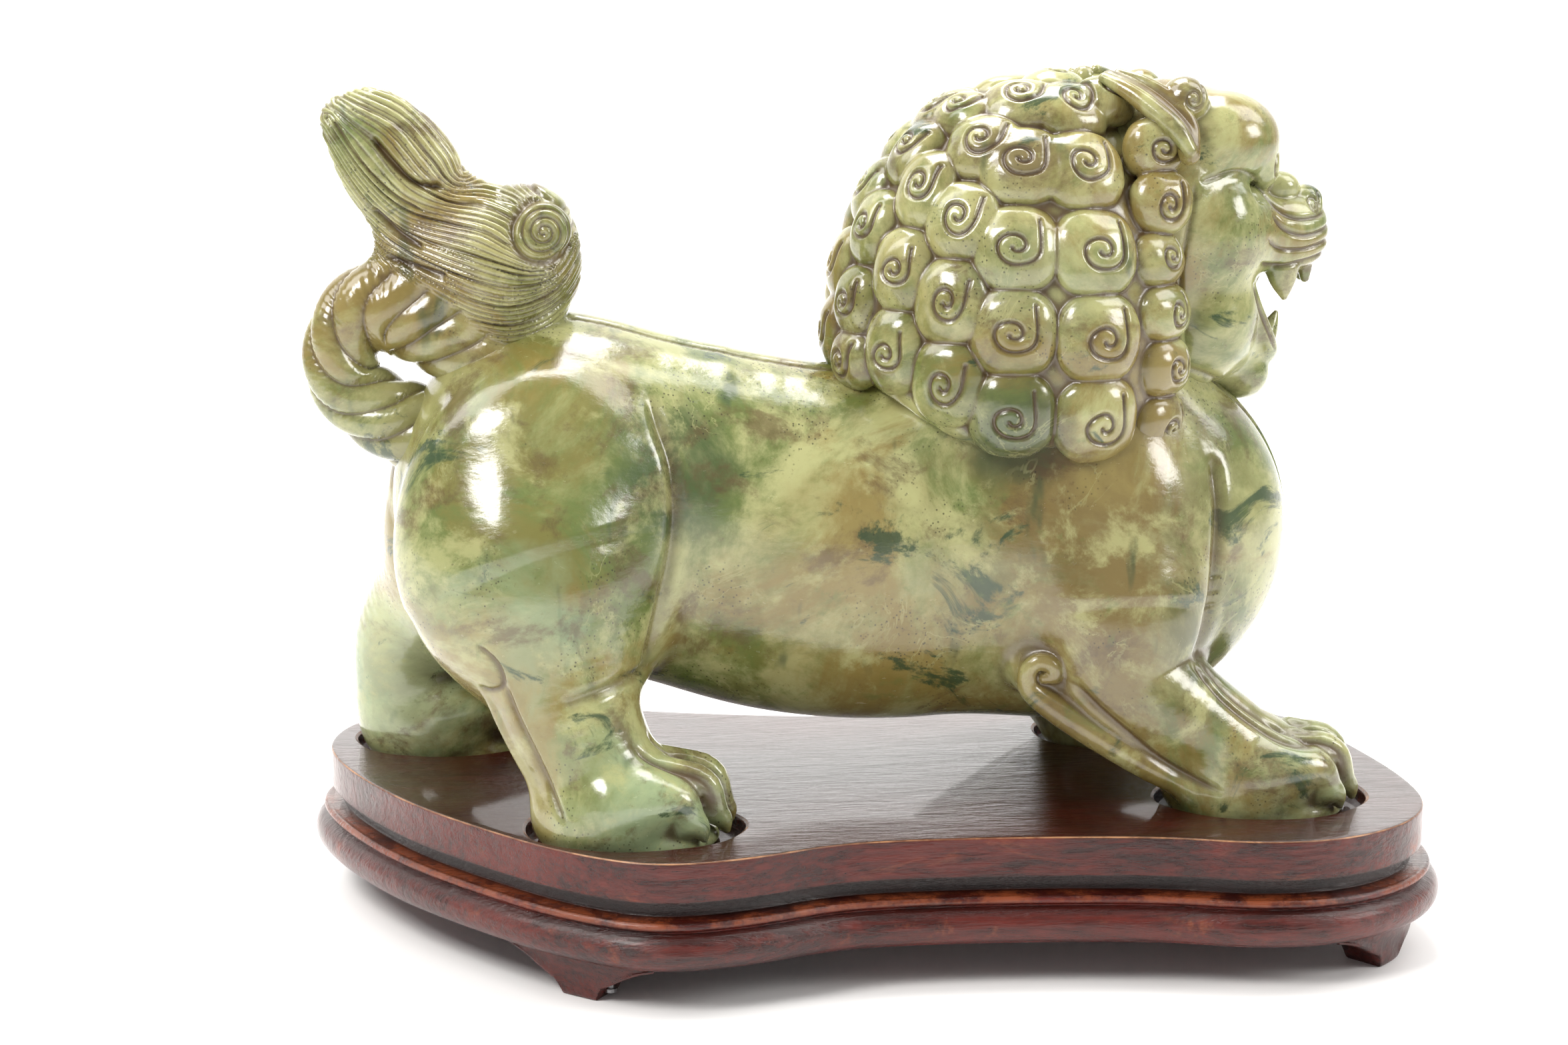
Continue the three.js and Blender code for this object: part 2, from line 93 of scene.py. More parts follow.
class Clay:
    def __init__(self, low, high, step):
        self.low = np.array(low, float)
        self.step = step
        self.count = np.ceil((np.array(high) - self.low) / step).astype(int) + 1
        self.field = np.full(self.count, 12.0, np.float32)

    def near(self, low, high):
        # the grid's cells between two corners, and their x, y, z as arrays that broadcast
        first = np.clip(np.floor((np.array(low) - self.low) / self.step).astype(int), 0, self.count - 1)
        last = np.clip(np.ceil((np.array(high) - self.low) / self.step).astype(int) + 1, 1, self.count)
        cells = tuple(slice(a, b) for a, b in zip(first, last))
        axes = [(self.low[k] + self.step * np.arange(first[k], last[k])).astype(np.float32)
                for k in range(3)]
        return cells, axes[0][:, None, None], axes[1][None, :, None], axes[2][None, None, :]

    def join(self, cells, distance, soft):
        old = self.field[cells]
        if soft <= 0:
            self.field[cells] = np.minimum(old, distance)
            return
        h = np.clip(0.5 + 0.5 * (old - distance) / soft, 0, 1)
        self.field[cells] = old + (distance - old) * h - soft * h * (1 - h)

    def carve(self, cells, distance, soft):
        old = self.field[cells]
        h = np.clip(0.5 - 0.5 * (old + distance) / max(soft, 1e-3), 0, 1)
        self.field[cells] = old + (-distance - old) * h + soft * h * (1 - h)

    def axis(self, k):
        return self.low[k] + self.step * np.arange(self.count[k])

    def egg(self, centre, radii, turn=(0, 0, 0), soft=6, cut=False, back=None):
        # turn is in degrees about x, y, z; back is another radius for the side facing -x
        reach = max(*radii, back or 0) + soft + 3
        c = np.array(centre, float)
        cells, x, y, z = self.near(c - reach, c + reach)
        px, py, pz = x - c[0], y - c[1], z - c[2]
        for axis, degrees in enumerate(turn):
            if degrees:
                s, k = math.sin(math.radians(-degrees)), math.cos(math.radians(-degrees))
                if axis == 0:
                    py, pz = k * py - s * pz, s * py + k * pz
                elif axis == 1:
                    px, pz = k * px + s * pz, -s * px + k * pz
                else:
                    px, py = k * px - s * py, s * px + k * py
        a, b, d = radii
        if back:
            a = np.where(px > 0, a, back)
        shell = np.sqrt((px / a) ** 2 + (py / b) ** 2 + (pz / d) ** 2) + 1e-6
        slope = np.sqrt((px / a ** 2) ** 2 + (py / b ** 2) ** 2 + (pz / d ** 2) ** 2) + 1e-6
        distance = (shell * (shell - 1) / slope).astype(np.float32)
        (self.carve if cut else self.join)(cells, distance, soft)

    def limb(self, points, soft=5, perSpan=8, flat=1.0):
        # points are x, y, z, radius; flat squeezes it across y
        line = curveThrough(points, perSpan)
        reach = line[:, 3].max() + soft + 3
        cells, x, y, z = self.near(line[:, :3].min(0) - reach, line[:, :3].max(0) + reach)
        best = None
        for a, b in zip(line[:-1], line[1:]):
            d = b[:3] - a[:3]
            d[1] /= flat
            length = float(d @ d) + 1e-9
            px, py, pz = x - a[0], (y - a[1]) / flat, z - a[2]
            t = np.clip((px * d[0] + py * d[1] + pz * d[2]) / length, 0, 1)
            gap = np.sqrt((px - t * d[0]) ** 2 + (py - t * d[1]) ** 2 + (pz - t * d[2]) ** 2)
            gap = gap - (a[3] + t * (b[3] - a[3]))
            best = gap if best is None else np.minimum(best, gap)
        self.join(cells, best.astype(np.float32), soft)

    def block(self, centre, radii, power, soft):
        # an egg with squarer shoulders
        c = np.array(centre, float)
        reach = max(radii) + soft + 3
        cells, x, y, z = self.near(c - reach, c + reach)
        a, b, d = radii
        k = (np.abs((x - c[0]) / a) ** power + np.abs((y - c[1]) / b) ** power
             + np.abs((z - c[2]) / d) ** power) ** (1 / power)
        self.join(cells, ((k - 1) * min(radii)).astype(np.float32), soft)

    def cushion(self, centre, out, radii, soft, power=2.8):
        # a rounded square pad lying on the skin: half width, half height and rise
        side, up = curlFrame(out)
        reach = max(radii) + 3
        cells, x, y, z = self.near(centre - reach, centre + reach)
        px, py, pz = x - centre[0], y - centre[1], z - centre[2]
        u = px * side[0] + py * side[1] + pz * side[2]
        v = px * up[0] + py * up[1] + pz * up[2]
        w = px * out[0] + py * out[1] + pz * out[2]
        a, b, d = radii
        flat = (np.abs(u / a) ** power + np.abs(v / b) ** power) ** (1 / power)
        shell = np.sqrt(flat ** 2 + (w / d) ** 2) + 1e-6
        slope = np.sqrt((flat / min(a, b)) ** 2 + (w / d ** 2) ** 2) + 1e-6
        self.join(cells, (shell * (shell - 1) / slope).astype(np.float32), soft)

    def merge(self, other, soft):
        # another clay on the same grid
        self.join(tuple(slice(None) for _ in range(3)), other.field, soft)

    def keep(self, inside, soft=0.0):
        # keeps only where inside, a height in mm, is positive
        d = -inside.astype(np.float32)
        if soft <= 0:
            self.field = np.maximum(self.field, d)
            return
        h = np.clip(0.5 - 0.5 * (self.field - d) / soft, 0, 1)
        self.field = self.field + (d - self.field) * h + soft * h * (1 - h)

    def keepAbove(self, level):
        self.keep(self.axis(2)[None, None, :] - level)

    def skin(self):
        # the zero surface as points in mm and quads
        band = 4 * self.step
        grid = openvdb.FloatGrid(band)
        grid.copyFromArray(np.clip(self.field, -band, band).astype(np.float32))
        points, quads = grid.convertToQuads(0.0)
        points = points * self.step + self.low
        return points.astype(float), quads.astype(np.int64)


def biggestShell(points, quads):
    # drops any loose crumb, keeping the largest connected skin
    label = np.arange(len(points))
    edges = np.vstack([quads[:, [0, 1]], quads[:, [1, 2]], quads[:, [2, 3]]])
    while True:
        low = np.minimum(label[edges[:, 0]], label[edges[:, 1]])
        before = label.copy()
        np.minimum.at(label, edges[:, 0], low)
        np.minimum.at(label, edges[:, 1], low)
        label = label[label]
        if np.array_equal(before, label):
            break
    names, counts = np.unique(label, return_counts=True)
    keep = label == names[counts.argmax()]
    number = np.cumsum(keep) - 1
    return points[keep], number[quads[keep[quads].all(1)]]


def meshOf(name, points, faces):
    mesh = bpy.data.meshes.new(name)
    mesh.from_pydata((np.asarray(points) * mm).tolist(), [], np.asarray(faces).tolist())
    mesh.update()
    mesh.polygons.foreach_set("use_smooth", [True] * len(mesh.polygons))
    return mesh


def normalsOf(points, quads):
    a, b = points[quads[:, 2]] - points[quads[:, 0]], points[quads[:, 3]] - points[quads[:, 1]]
    across = np.cross(a, b)
    total = np.zeros_like(points)
    for k in range(4):
        np.add.at(total, quads[:, k], across)
    return total / (np.linalg.norm(total, axis=1, keepdims=True) + 1e-12)


def neighbours(quads, count):
    # the quads' edges as pairs of points, and how many each point has
    pairs = np.vstack([quads[:, [k, (k + 1) % 4]] for k in range(4)])
    return pairs, np.bincount(pairs[:, 0], minlength=count) + np.bincount(pairs[:, 1], minlength=count)


def neighbourSum(points, pairs):
    a, b = pairs[:, 0], pairs[:, 1]
    return np.stack([np.bincount(a, points[b, k], len(points)) + np.bincount(b, points[a, k], len(points))
                     for k in range(3)], 1)


def relaxed(points, quads, rounds):
    # evens the skin a little without shrinking it
    pairs, degree = neighbours(quads, len(points))
    for turn in range(rounds * 2):
        push = 0.5 if turn % 2 == 0 else -0.52
        points = points + push * (neighbourSum(points, pairs) / degree[:, None] - points)
    return points


def hollowness(points, quads, normals, size):
    # about how many mm each point lies below its surroundings
    rounds = max(2, int(round(size * size / 1.2)))
    pairs, degree = neighbours(quads, len(points))
    smooth = points
    for turn in range(rounds * 6):
        smooth = neighbourSum(smooth, pairs) / degree[:, None]
    return ((smooth - points) * normals).sum(1) * 2


def addPiece(name, mesh, material, body, nodes, masks=None):
    for key, values in (masks or {}).items():
        layer = mesh.attributes.new(key, "FLOAT", "POINT")
        layer.data.foreach_set("value", np.asarray(values, np.float32))
    piece = bpy.data.objects.new(name, mesh)
    bpy.context.scene.collection.objects.link(piece)
    mesh.materials.append(material)
    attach(piece, body)
    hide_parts(*nodes)
    print("made", name, len(mesh.polygons), "faces")
    return piece


def step(low, high, value):
    t = np.clip((value - low) / (high - low), 0, 1)
    return t * t * (3 - 2 * t)


def wander(p, size, seed):
    # slow smooth noise between -1 and 1, from a few seeded waves
    rng = np.random.default_rng(seed)
    total = np.zeros(len(p))
    for i in range(7):
        way = rng.normal(size=3)
        way *= 2 * math.pi / (size * rng.uniform(0.7, 1.5) * np.linalg.norm(way))
        total += np.sin(p @ way + rng.uniform(0, 6.28))
    return total / 4


def alongCurve(p, line):
    # for each point: arc length of the nearest place on the line, the gap to it, and its index
    best = np.full(len(p), 1e9)
    place = np.zeros(len(p))
    index = np.zeros(len(p), int)
    done = 0.0
    for i, (a, b) in enumerate(zip(line[:-1, :3], line[1:, :3])):
        d = b - a
        length = np.linalg.norm(d)
        t = np.clip((p - a) @ d / length ** 2, 0, 1)
        gap = np.linalg.norm(p - a - t[:, None] * d, axis=1)
        closer = gap < best
        best[closer] = gap[closer]
        place[closer] = done + t[closer] * length
        index[closer] = i
        done += length
    return place, best, index


def groove(p, points, width, depth, perSpan=8):
    # a cut along a line on the skin: how deep at each point, tapering out at both ends
    line = curveThrough(points, perSpan)
    near = np.all((p > line[:, :3].min(0) - 3 * width) & (p < line[:, :3].max(0) + 3 * width), axis=1)
    out = np.zeros(len(p))
    if near.any():
        place, gap, _ = alongCurve(p[near], line)
        total = np.linalg.norm(np.diff(line[:, :3], axis=0), axis=1).sum()
        taper = step(0, 0.12 * total, place) * step(0, 0.12 * total, total - place)
        out[near] = depth * np.exp(-(gap / (0.5 * width)) ** 2) * taper
    return out


# the lion's body, legs and paws

bodyShape = {
    "rump": ((-70, 0.5, 99), (35.5, 33, 38.5)),
    "barrel": ((5, -0.5, 86), (78, 31.5, 39)),
    "backLine": [(-68, 0, 110.5, 27), (-38, 0, 106, 26.5), (-8, 0, 99.5, 25), (30, 0, 98, 25)],
    "chest": ((53, 1, 89.5), (43.5, 33, 42)),
    "withers": ((38, 0, 120), (34, 27, 28)),
}
legShape = {  # bulge of the haunch or shoulder, its lean and softness; then the leg with its radii
    "hindRight": (((-72, -19, 93), (32, 19, 39), -8, 8),
                  [(-76, -20, 88, 26), (-70, -27, 70, 18), (-66.5, -32, 56, 14.8), (-60, -35, 43, 13)]),
    "hindLeft": (((-76, 19, 92), (31, 18, 38), -8, 8),
                 [(-84, 21, 84, 23), (-95, 30, 71, 16.5), (-103, 36, 58, 13.5), (-103.5, 38, 45, 13.5)]),
    "foreRight": (((53, -19, 88), (22.5, 18, 36), 0, 8),
                  [(54, -21, 76, 20), (55, -26, 62.5, 15), (66, -28, 54, 13), (80, -28, 43.5, 12)]),
    "foreLeft": (((52, 18, 86), (24, 17, 35), 0, 8),
                 [(48, 21, 76, 19), (42, 26, 60, 14), (50, 27, 49, 12.5), (62, 27, 41.5, 11.5)]),
}
toes = [  # across from the outer toe, then its line forward and up from the sole, with radii, and its claw
    (-10.2, [(-4, 10.6, 7.4), (3, 11.2, 6.6), (9, 11, 4.8), (11.6, 7, 3.8)],
     [(11.4, 8.0, 3.2), (13.8, 5.8, 2.5), (15, 3.0, 0.9)]),
    (-3.9, [(-5, 16, 4.8), (6, 14.8, 4.5), (14.2, 13, 4.1), (16.8, 8, 3.4)],
     [(16.6, 7.8, 3.0), (19, 5.6, 2.2), (20, 3.0, 0.9)]),
    (3.9, [(-5, 16, 4.8), (7, 15, 4.5), (15.6, 13.2, 4.1), (18.2, 8, 3.4)],
     [(18, 7.8, 3.0), (20.2, 5.6, 2.2), (21, 3.0, 0.9)]),
    (10.4, [(-4, 11.6, 6.6), (4, 12.2, 6.0), (11, 11.4, 4.6), (13.6, 7.4, 3.6)],
     [(13, 8.0, 3.2), (15.4, 5.8, 2.3), (16.4, 3.0, 0.9)]),
]
elbow = [(36.2, 33.6, 63.6, 1.3), (38.2, 34, 64.2, 1.7), (37.6, 34, 66.4, 1.9), (34.8, 33.6, 67.2, 2.0),
         (32.6, 33, 64.8, 2.1), (33.4, 32.6, 60.6, 2.5), (40.4, 33, 55.2, 3.2), (51.5, 34.6, 48.2, 3.4),
         (61, 35.6, 42.2, 3.0), (69, 36, 37.8, 2.2)]
hock = [(-85.6, 31, 66.5, 1.8), (-81.8, 33.5, 58, 2.3), (-77, 36.5, 48.6, 2.3), (-72.6, 39, 40, 1.8)]
farHock = [(-108, 43.5, 64, 1.8), (-110.5, 46, 56, 2.3), (-111, 48.5, 48, 2.2), (-109, 50, 40, 1.8)]


def toeSpread(u):
    # toes fan out a little towards their tips
    return 0.86 + 0.008 * u


def pawTurn(paw):
    x, y, turn = paws[paw]
    c, s = math.cos(turn), math.sin(turn)
    return lambda u, v, z: (x + u * c - v * s, y + u * s + v * c, z)


def layPaw(clay, paw):
    place = pawTurn(paw)
    degrees = math.degrees(paws[paw][2])
    outer = 1 if paws[paw][1] < 0 else -1
    clay.egg(place(-4, 0, soleLevel + 6), (18.5, 15.4, 13.2), (0, 0, degrees), 5)
    clay.egg(place(-1, 0, soleLevel + 11), (14, 12.5, 9), (0, 0, degrees), 4)
    clay.egg(place(3, 0, soleLevel + 1), (15.5, 13.5, 5), (0, 0, degrees), 2)
    for across, line, claw in toes:
        v = across * outer
        soft = 2.2 if abs(across) > 8 else 0.8
        clay.limb([(*place(u, v * toeSpread(u), soleLevel + h), r) for u, h, r in line], soft, 5)
        clay.limb([(*place(u, v, soleLevel + h), r) for u, h, r in claw], 0.35, 4)
        crest = [(*place(u, v * toeSpread(u), soleLevel + h + 0.80 * r), 0.26 * r) for u, h, r in line[1:3]]
        clay.limb(crest, 1.1, 5)


def sculptBody():
    low, high = (-126, -60, soleLevel - 3), (115, 60, 160)
    clay = Clay(low, high, look["stone"])
    clay.egg(*bodyShape["rump"], soft=10)
    clay.egg(*bodyShape["barrel"], soft=14)
    clay.limb(bodyShape["backLine"], 12, 3)
    clay.egg(*bodyShape["chest"], turn=(0, -8, 0), soft=14)
    clay.egg(*bodyShape["withers"], soft=10)
    legs = Clay(low, high, look["stone"])
    for paw, ((centre, radii, lean, soft), line) in legShape.items():
        legs.egg(centre, radii, (0, lean, 0), soft)
        legs.limb(line, soft, 6)
    clay.merge(legs, 3.5)
    for side, shift in ((-1, 0), (1, -17)):  # elbow roll with its scroll, on both forelegs
        roll = [(43, 25, 62, 8), (52, 28, 55, 8.5), (62, 30, 47, 7.5), (70, 31, 41, 6)]
        clay.limb([(x + shift, side * y, z, r) for x, y, z, r in roll], 3, 5)
        clay.egg((35.8 + shift, side * 27, 64), (6.5, 6, 6.5), soft=3)
        clay.limb([(x + shift, side * y, z, r) for x, y, z, r in elbow], 0.9, 6)
    clay.limb([(x, -y, z, r) for x, y, z, r in hock], 1.0, 6)  # tendon and tuft behind each hock
    clay.egg((-85.2, -31.5, 70.5), (2.8, 3.2, 5.0), (0, 15, 0), 0.7)
    clay.limb(farHock, 1.0, 6)
    clay.egg((-107, 43, 69), (2.8, 3.2, 4.6), soft=0.7)
    for paw in paws:
        layPaw(clay, paw)
    clay.keepAbove(soleLevel)
    points, quads = biggestShell(*clay.skin())
    points = relaxed(points, quads, 2)
    return points, quads


class Chisel:  # adds up what is cut from a skin and where brown settles
    def __init__(self, points, normals):
        self.p, self.normals = points, normals
        self.cut = np.zeros(len(points))
        self.dark = np.zeros(len(points))

    def line(self, places, width, depth, shade, where):
        # places are x and z; the cut goes straight in from the side
        y = np.where(where, 0, 1e3)
        flat = np.column_stack([self.p[:, 0], y, self.p[:, 2]])
        dent = groove(flat, [(x, 0, z) for x, z in places], width, depth)
        self.cut += dent
        self.dark = np.maximum(self.dark, shade * dent / depth)

    def ridge(self, off, half, depth, where):
        # a raised cord between two fine cuts
        cuts = np.where(where, np.exp(-((np.abs(off) - half) / 0.8) ** 2), 0)
        self.cut += depth * cuts - np.where(where, 0.6 * depth * np.exp(-(off / (0.8 * half)) ** 4), 0)
        self.dark = np.maximum(self.dark, 0.8 * cuts)


def makeBody(material):
    p, quads = sculptBody()
    normals = normalsOf(p, quads)
    chisel = Chisel(p, normals)
    near, far = p[:, 1] < -8, p[:, 1] > 8
    outward = np.abs(normals[:, 1]) > 0.15
    # haunch creases: the thigh stands a little proud of the flank
    crease = [(-50, 128), (-47, 119), (-44.6, 111), (-44, 101), (-45, 91), (-47.5, 80), (-50, 69), (-51, 62)]
    for side in (near, far):
        chisel.line(crease, 3.2, 1.7, 0.45, side & outward)
    chisel.line([(-70, 63), (-65.7, 64.6), (-60, 66), (-54, 67), (-48, 66)], 2.6, 1.0, 0.5, near & outward)
    chisel.line([(-87.6, 76), (-83.2, 72), (-81.8, 67), (-84.5, 64.6), (-87.5, 65)], 1.2, 0.6, 0.9, near)
    chisel.line([(-82, 68), (-79.2, 60.5), (-75.2, 52), (-71.4, 43), (-69, 37)], 1.4, 0.7, 0.7, p[:, 1] < -26)
    # elbow roll's edge, shoulder edge and the double cord down the forearm
    rollEdge = [(41.5, 64), (46.3, 58.6), (53.6, 52.2), (61, 46), (69, 41), (76, 38)]
    for side, shift in ((p[:, 1] < -18, 0), (p[:, 1] > 18, -17)):
        chisel.line([(x + shift, z) for x, z in rollEdge], 1.8, 0.8, 0.85, side & outward)
    shoulderEdge = [(74.6, 112), (75.6, 100), (75.2, 88.4), (74.4, 79.4), (72.3, 71), (69.5, 64.4)]
    chisel.line(shoulderEdge, 3.0, 1.6, 0.55, near & outward)
    forearm = near & (p[:, 0] > 66) & (normals[:, 2] > -0.1)
    for lift, shade in ((0, 0.8), (2.6, 0.7)):
        cord = [(68.2 + lift * 0.7, 67.4 + lift * 0.2), (75.2 + lift * 0.6, 58.6 + lift * 0.4),
                (84.4 + lift * 0.4, 51.2 + lift * 0.6), (91.4, 48.2 + lift * 0.7), (100, 47.4 + lift * 0.5)]
        chisel.line(cord, 1.2, 0.8, shade, forearm)
    for x, z in ((74.6, 84), (74.3, 80.5), (73.6, 77)):  # three small nicks below the shoulder
        chisel.line([(x - 0.5, z), (x + 0.8, z + 0.2), (x + 2.2, z + 0.6)], 0.9, 0.35, 0.45, near & outward)
    # spine and breast cords
    onSpine = (p[:, 0] > -66) & (p[:, 0] < 6) & (normals[:, 2] > 0.5)
    chisel.ridge(p[:, 1] - 0.5, 4.4, 0.8, onSpine)
    onBreast = (p[:, 0] > 66) & (normals[:, 0] > 0.25) & (p[:, 2] > 64) & (np.abs(p[:, 1]) < 9)
    chisel.ridge(p[:, 1] - 1.5, 4.4, 0.9, onBreast)
    # between the toes
    for paw, (x, y, turn) in paws.items():
        c, s = math.cos(turn), math.sin(turn)
        u = (p[:, 0] - x) * c + (p[:, 1] - y) * s
        v = -(p[:, 0] - x) * s + (p[:, 1] - y) * c
        outer = 1 if y < 0 else -1
        for between, back in ((-7.6, -1), (0, 2), (7.6, 0)):
            line = between * outer * toeSpread(u)
            height = p[:, 2] - soleLevel
            on = step(back - 3, back + 3, u) * step(2, 6, height) * step(25, 20, height)
            on *= np.hypot(u, v) < 26
            dent = on * np.exp(-((v - line) / 0.75) ** 2)
            chisel.cut += 0.9 * dent
            chisel.dark = np.maximum(chisel.dark, 0.9 * dent)
    deep = hollowness(p, quads, normals, 3.5)
    dark = np.maximum(chisel.dark, 0.75 * step(0.2, 1.4, deep))
    p = p - normals * chisel.cut[:, None]
    mesh = meshOf("lion_body", p, quads)
    addPiece("lion_body", mesh, material, "figure", ["jade_lion"], {"grimeAndShade": np.clip(dark, 0, 1)})


# mane

maneShape = {
    "bell": ((38, 0.5, 133), (35.5, 35, 57), 44),
    "hem": 114,
    "hemRise": 14,
    "columns": [  # azimuth from the display side towards the face, half width, and the curls' heights
        (46, 7.9, [154, 142.5, 130.5, 118]),
        (14.5, 9.3, [173.5, 156.5, 138.5, 120.5]),
        (-16.5, 9.1, [174.5, 157.5, 140, 122]),
        (-38, 8.0, [178, 163, 146, 128.5]),
        (-57, 7.0, [169, 152, 134.5]),
        (-75, 6.6, [176, 160, 144, 131]),
    ],
    "crown": [(22, 8.8, 185.5), (-24, 8.6, 186.5), (-66, 7.4, 184)],
    "temple": [((61.2, -18.4, 177.5), 7.0), ((62.2, -21.5, 166), 7.2), ((52, -9, 187.5), 6.6)],
    "spine": [183.5, 167, 151, 136],
    "rise": 5.2,
    "coil": 5.1,
    "cut": 0.8,
    "cutWidth": 0.95,
}


def onBell(azimuth, height):
    # the bell's own surface at an azimuth and height, and the way out there
    (cx, cy, cz), (front, across, up), back = maneShape["bell"]
    slice_ = math.sqrt(max(0.02, 1 - ((height - cz) / up) ** 2))
    a = math.radians(azimuth)
    dx, dy = math.sin(a), -math.cos(a)
    along = front if dx > 0 else back
    reach = slice_ / math.sqrt((dx / along) ** 2 + (dy / across) ** 2)
    x, y = dx * reach, dy * reach
    out = np.array((x / along ** 2, y / across ** 2, (height - cz) / up ** 2))
    return np.array((cx + x, cy + y, height)), out / np.linalg.norm(out)


def curlPlaces():
    # every curl of the mane: place, way out, half width, half height, hand
    curls = []
    for far in (False, True):
        for azimuth, half, heights in maneShape["columns"]:
            for k, z in enumerate(heights):
                first, last = max(k - 1, 0), min(k + 1, len(heights) - 1)
                gap = (heights[first] - heights[last]) / (last - first)
                place, out = onBell(180 - azimuth if far else azimuth, z)
                curls.append((place, out, half, 0.53 * gap, -1 if far else 1))
        for azimuth, half, z in maneShape["crown"]:
            place, out = onBell(180 - azimuth if far else azimuth, z)
            curls.append((place, out, half, half * 0.9, -1 if far else 1))
        for (x, y, z), half in maneShape["temple"]:  # curls that run up to the ear
            y = 0.5 - y if far else y
            out = np.array((0.3, y / 22, 0.05 if z < 180 else 0.7))
            out /= np.linalg.norm(out)
            curls.append((np.array((x, y, z)), out, half, half * 0.95, -1 if far else 1))
    for z in maneShape["spine"]:
        place, out = onBell(-90, z)
        curls.append((place, out, 6.6, 8.6, 1))
    curls.append((np.array((42, 0.5, 189.4)), np.array((0.05, 0, 1.0)), 7.5, 7.5, 1))
    return curls


def curlFrame(out):
    side = np.cross((0, 0, 1), out)
    side /= np.linalg.norm(side) + 1e-9
    return side, np.cross(out, side)


def coilLine(size):
    # a coil of one and a half turns that leaves up one side, flat, in mm
    turn = np.radians(np.linspace(-500, 0, 44))
    radius = np.linspace(0.7, size, 44)
    line = np.column_stack([radius * np.cos(turn), radius * np.sin(turn)])
    tail = np.array([(size * 1.02, size * k) for k in (0.3, 0.6, 0.9, 1.1)])
    return np.vstack([line, tail])


def lineGap(u, v, line):
    best = np.full(len(u), 99.0)
    for (ax, ay), (bx, by) in zip(line[:-1], line[1:]):
        dx, dy = bx - ax, by - ay
        t = np.clip(((u - ax) * dx + (v - ay) * dy) / (dx * dx + dy * dy + 1e-9), 0, 1)
        best = np.minimum(best, np.hypot(u - ax - t * dx, v - ay - t * dy))
    return best


def engraveCurls(p, normals, curls, coil, depth, width):
    # how deep the coils cut at each point
    cut = np.zeros(len(p))
    for place, out, half, tall, hand in curls:
        near = np.flatnonzero(np.linalg.norm(p - place, axis=1) < half + 5)
        near = near[normals[near] @ out > 0.1]
        if not len(near):
            continue
        side, up = curlFrame(out)
        d = p[near] - place
        line = coilLine(coil * min(half, tall) / 9)
        shake = 0.35 * np.sin(0.37 * p[near, 0] + 0.31 * p[near, 2])
        gap = lineGap(d @ side * hand + shake, d @ up - shake, line)
        cut[near] = np.maximum(cut[near], depth * np.exp(-(gap / (0.5 * width)) ** 2))
    return cut


def makeMane(material):
    clay = Clay((-18, -46, 104), (80, 47, 200), look["mane"])
    (centre, radii, back) = maneShape["bell"]
    clay.egg(centre, radii, soft=0, back=back)
    hem = maneShape["hem"] + maneShape["hemRise"] * step(24, -8, clay.axis(0))
    clay.keep(clay.axis(2)[None, None, :] - hem[:, None, None], 3)
    clay.egg((44, 0.5, 100), (30, 28, 22), soft=2, cut=True)
    curls = curlPlaces()
    for place, out, half, tall, hand in curls:
        clay.cushion(place - 0.8 * out, out, (1.05 * half, 1.03 * tall, maneShape["rise"]), 0.7, 2.4)
    points, quads = biggestShell(*clay.skin())
    p = relaxed(points, quads, 1)
    normals = normalsOf(p, quads)
    cut = engraveCurls(p, normals, curls, maneShape["coil"], maneShape["cut"], maneShape["cutWidth"])
    # the grooves between cushions hold the brown
    deep = hollowness(p, quads, normals, 3.0)
    dark = np.clip(1.1 * cut / maneShape["cut"] + 0.9 * step(0.12, 1.0, deep), 0, 1)
    p = p - normals * (cut + 0.12 * wander(p, 6, 11))[:, None]
    mesh = meshOf("lion_mane", p, quads)
    addPiece("lion_mane", mesh, material, "figure", ["jade_lion"], {"grimeAndShade": dark})


# head, built facing +x about its own middle and then turned on the neck

faceShape = {
    "neck": (62.0, 0.5),
    "turn": 10,
    "brow": ((15.5, 7.0, 178), (13.5, 13, 11)),
    "browTip": ((24.5, 7.5, 171.5), (4.6, 7, 5)),
    "cheek": ((12.5, 10, 158), (12.5, 12, 16)),
    "jaw": ((12, 8, 138), (12.5, 12, 15)),
    "muzzle": ((29.8, 0, 156.6), (13.8, 13.6, 9.2)),
    "ear": [(-13, 9.5, 192.2, 1.2), (-9, 14, 189.6, 1.9), (-5, 18, 186, 2.3), (-1, 22, 181.8, 2.2),
            (1.6, 24, 177.4, 1.5)],
    "earFront": [(-8.5, 7, 193, 1.1), (-4, 11, 191, 1.6), (0.8, 15, 187.4, 1.8), (3.8, 18.5, 182.4, 1.7),
                 (3.4, 22, 177.8, 1.4)],
    "lip": [(20.5, 11.8, 147, 1.6), (23.6, 11, 140, 2.1), (27.3, 8.8, 133.2, 2.3), (30, 4.5, 129.6, 2.3),
            (30.6, 0, 129, 2.3)],
    "fang": [(30.6, 9.2, 150.5, 4.3), (31, 9.2, 147, 3.2), (31.6, 9, 142.6, 0.9)],
    "lowFang": [(28.3, 6.6, 133, 2.7), (29.8, 6.4, 136, 1.7), (31, 6.2, 138.6, 0.6)],
}


def bothSides(points):
    return [[(x, s * y, *rest) for x, y, *rest in points] for s in (-1, 1)]


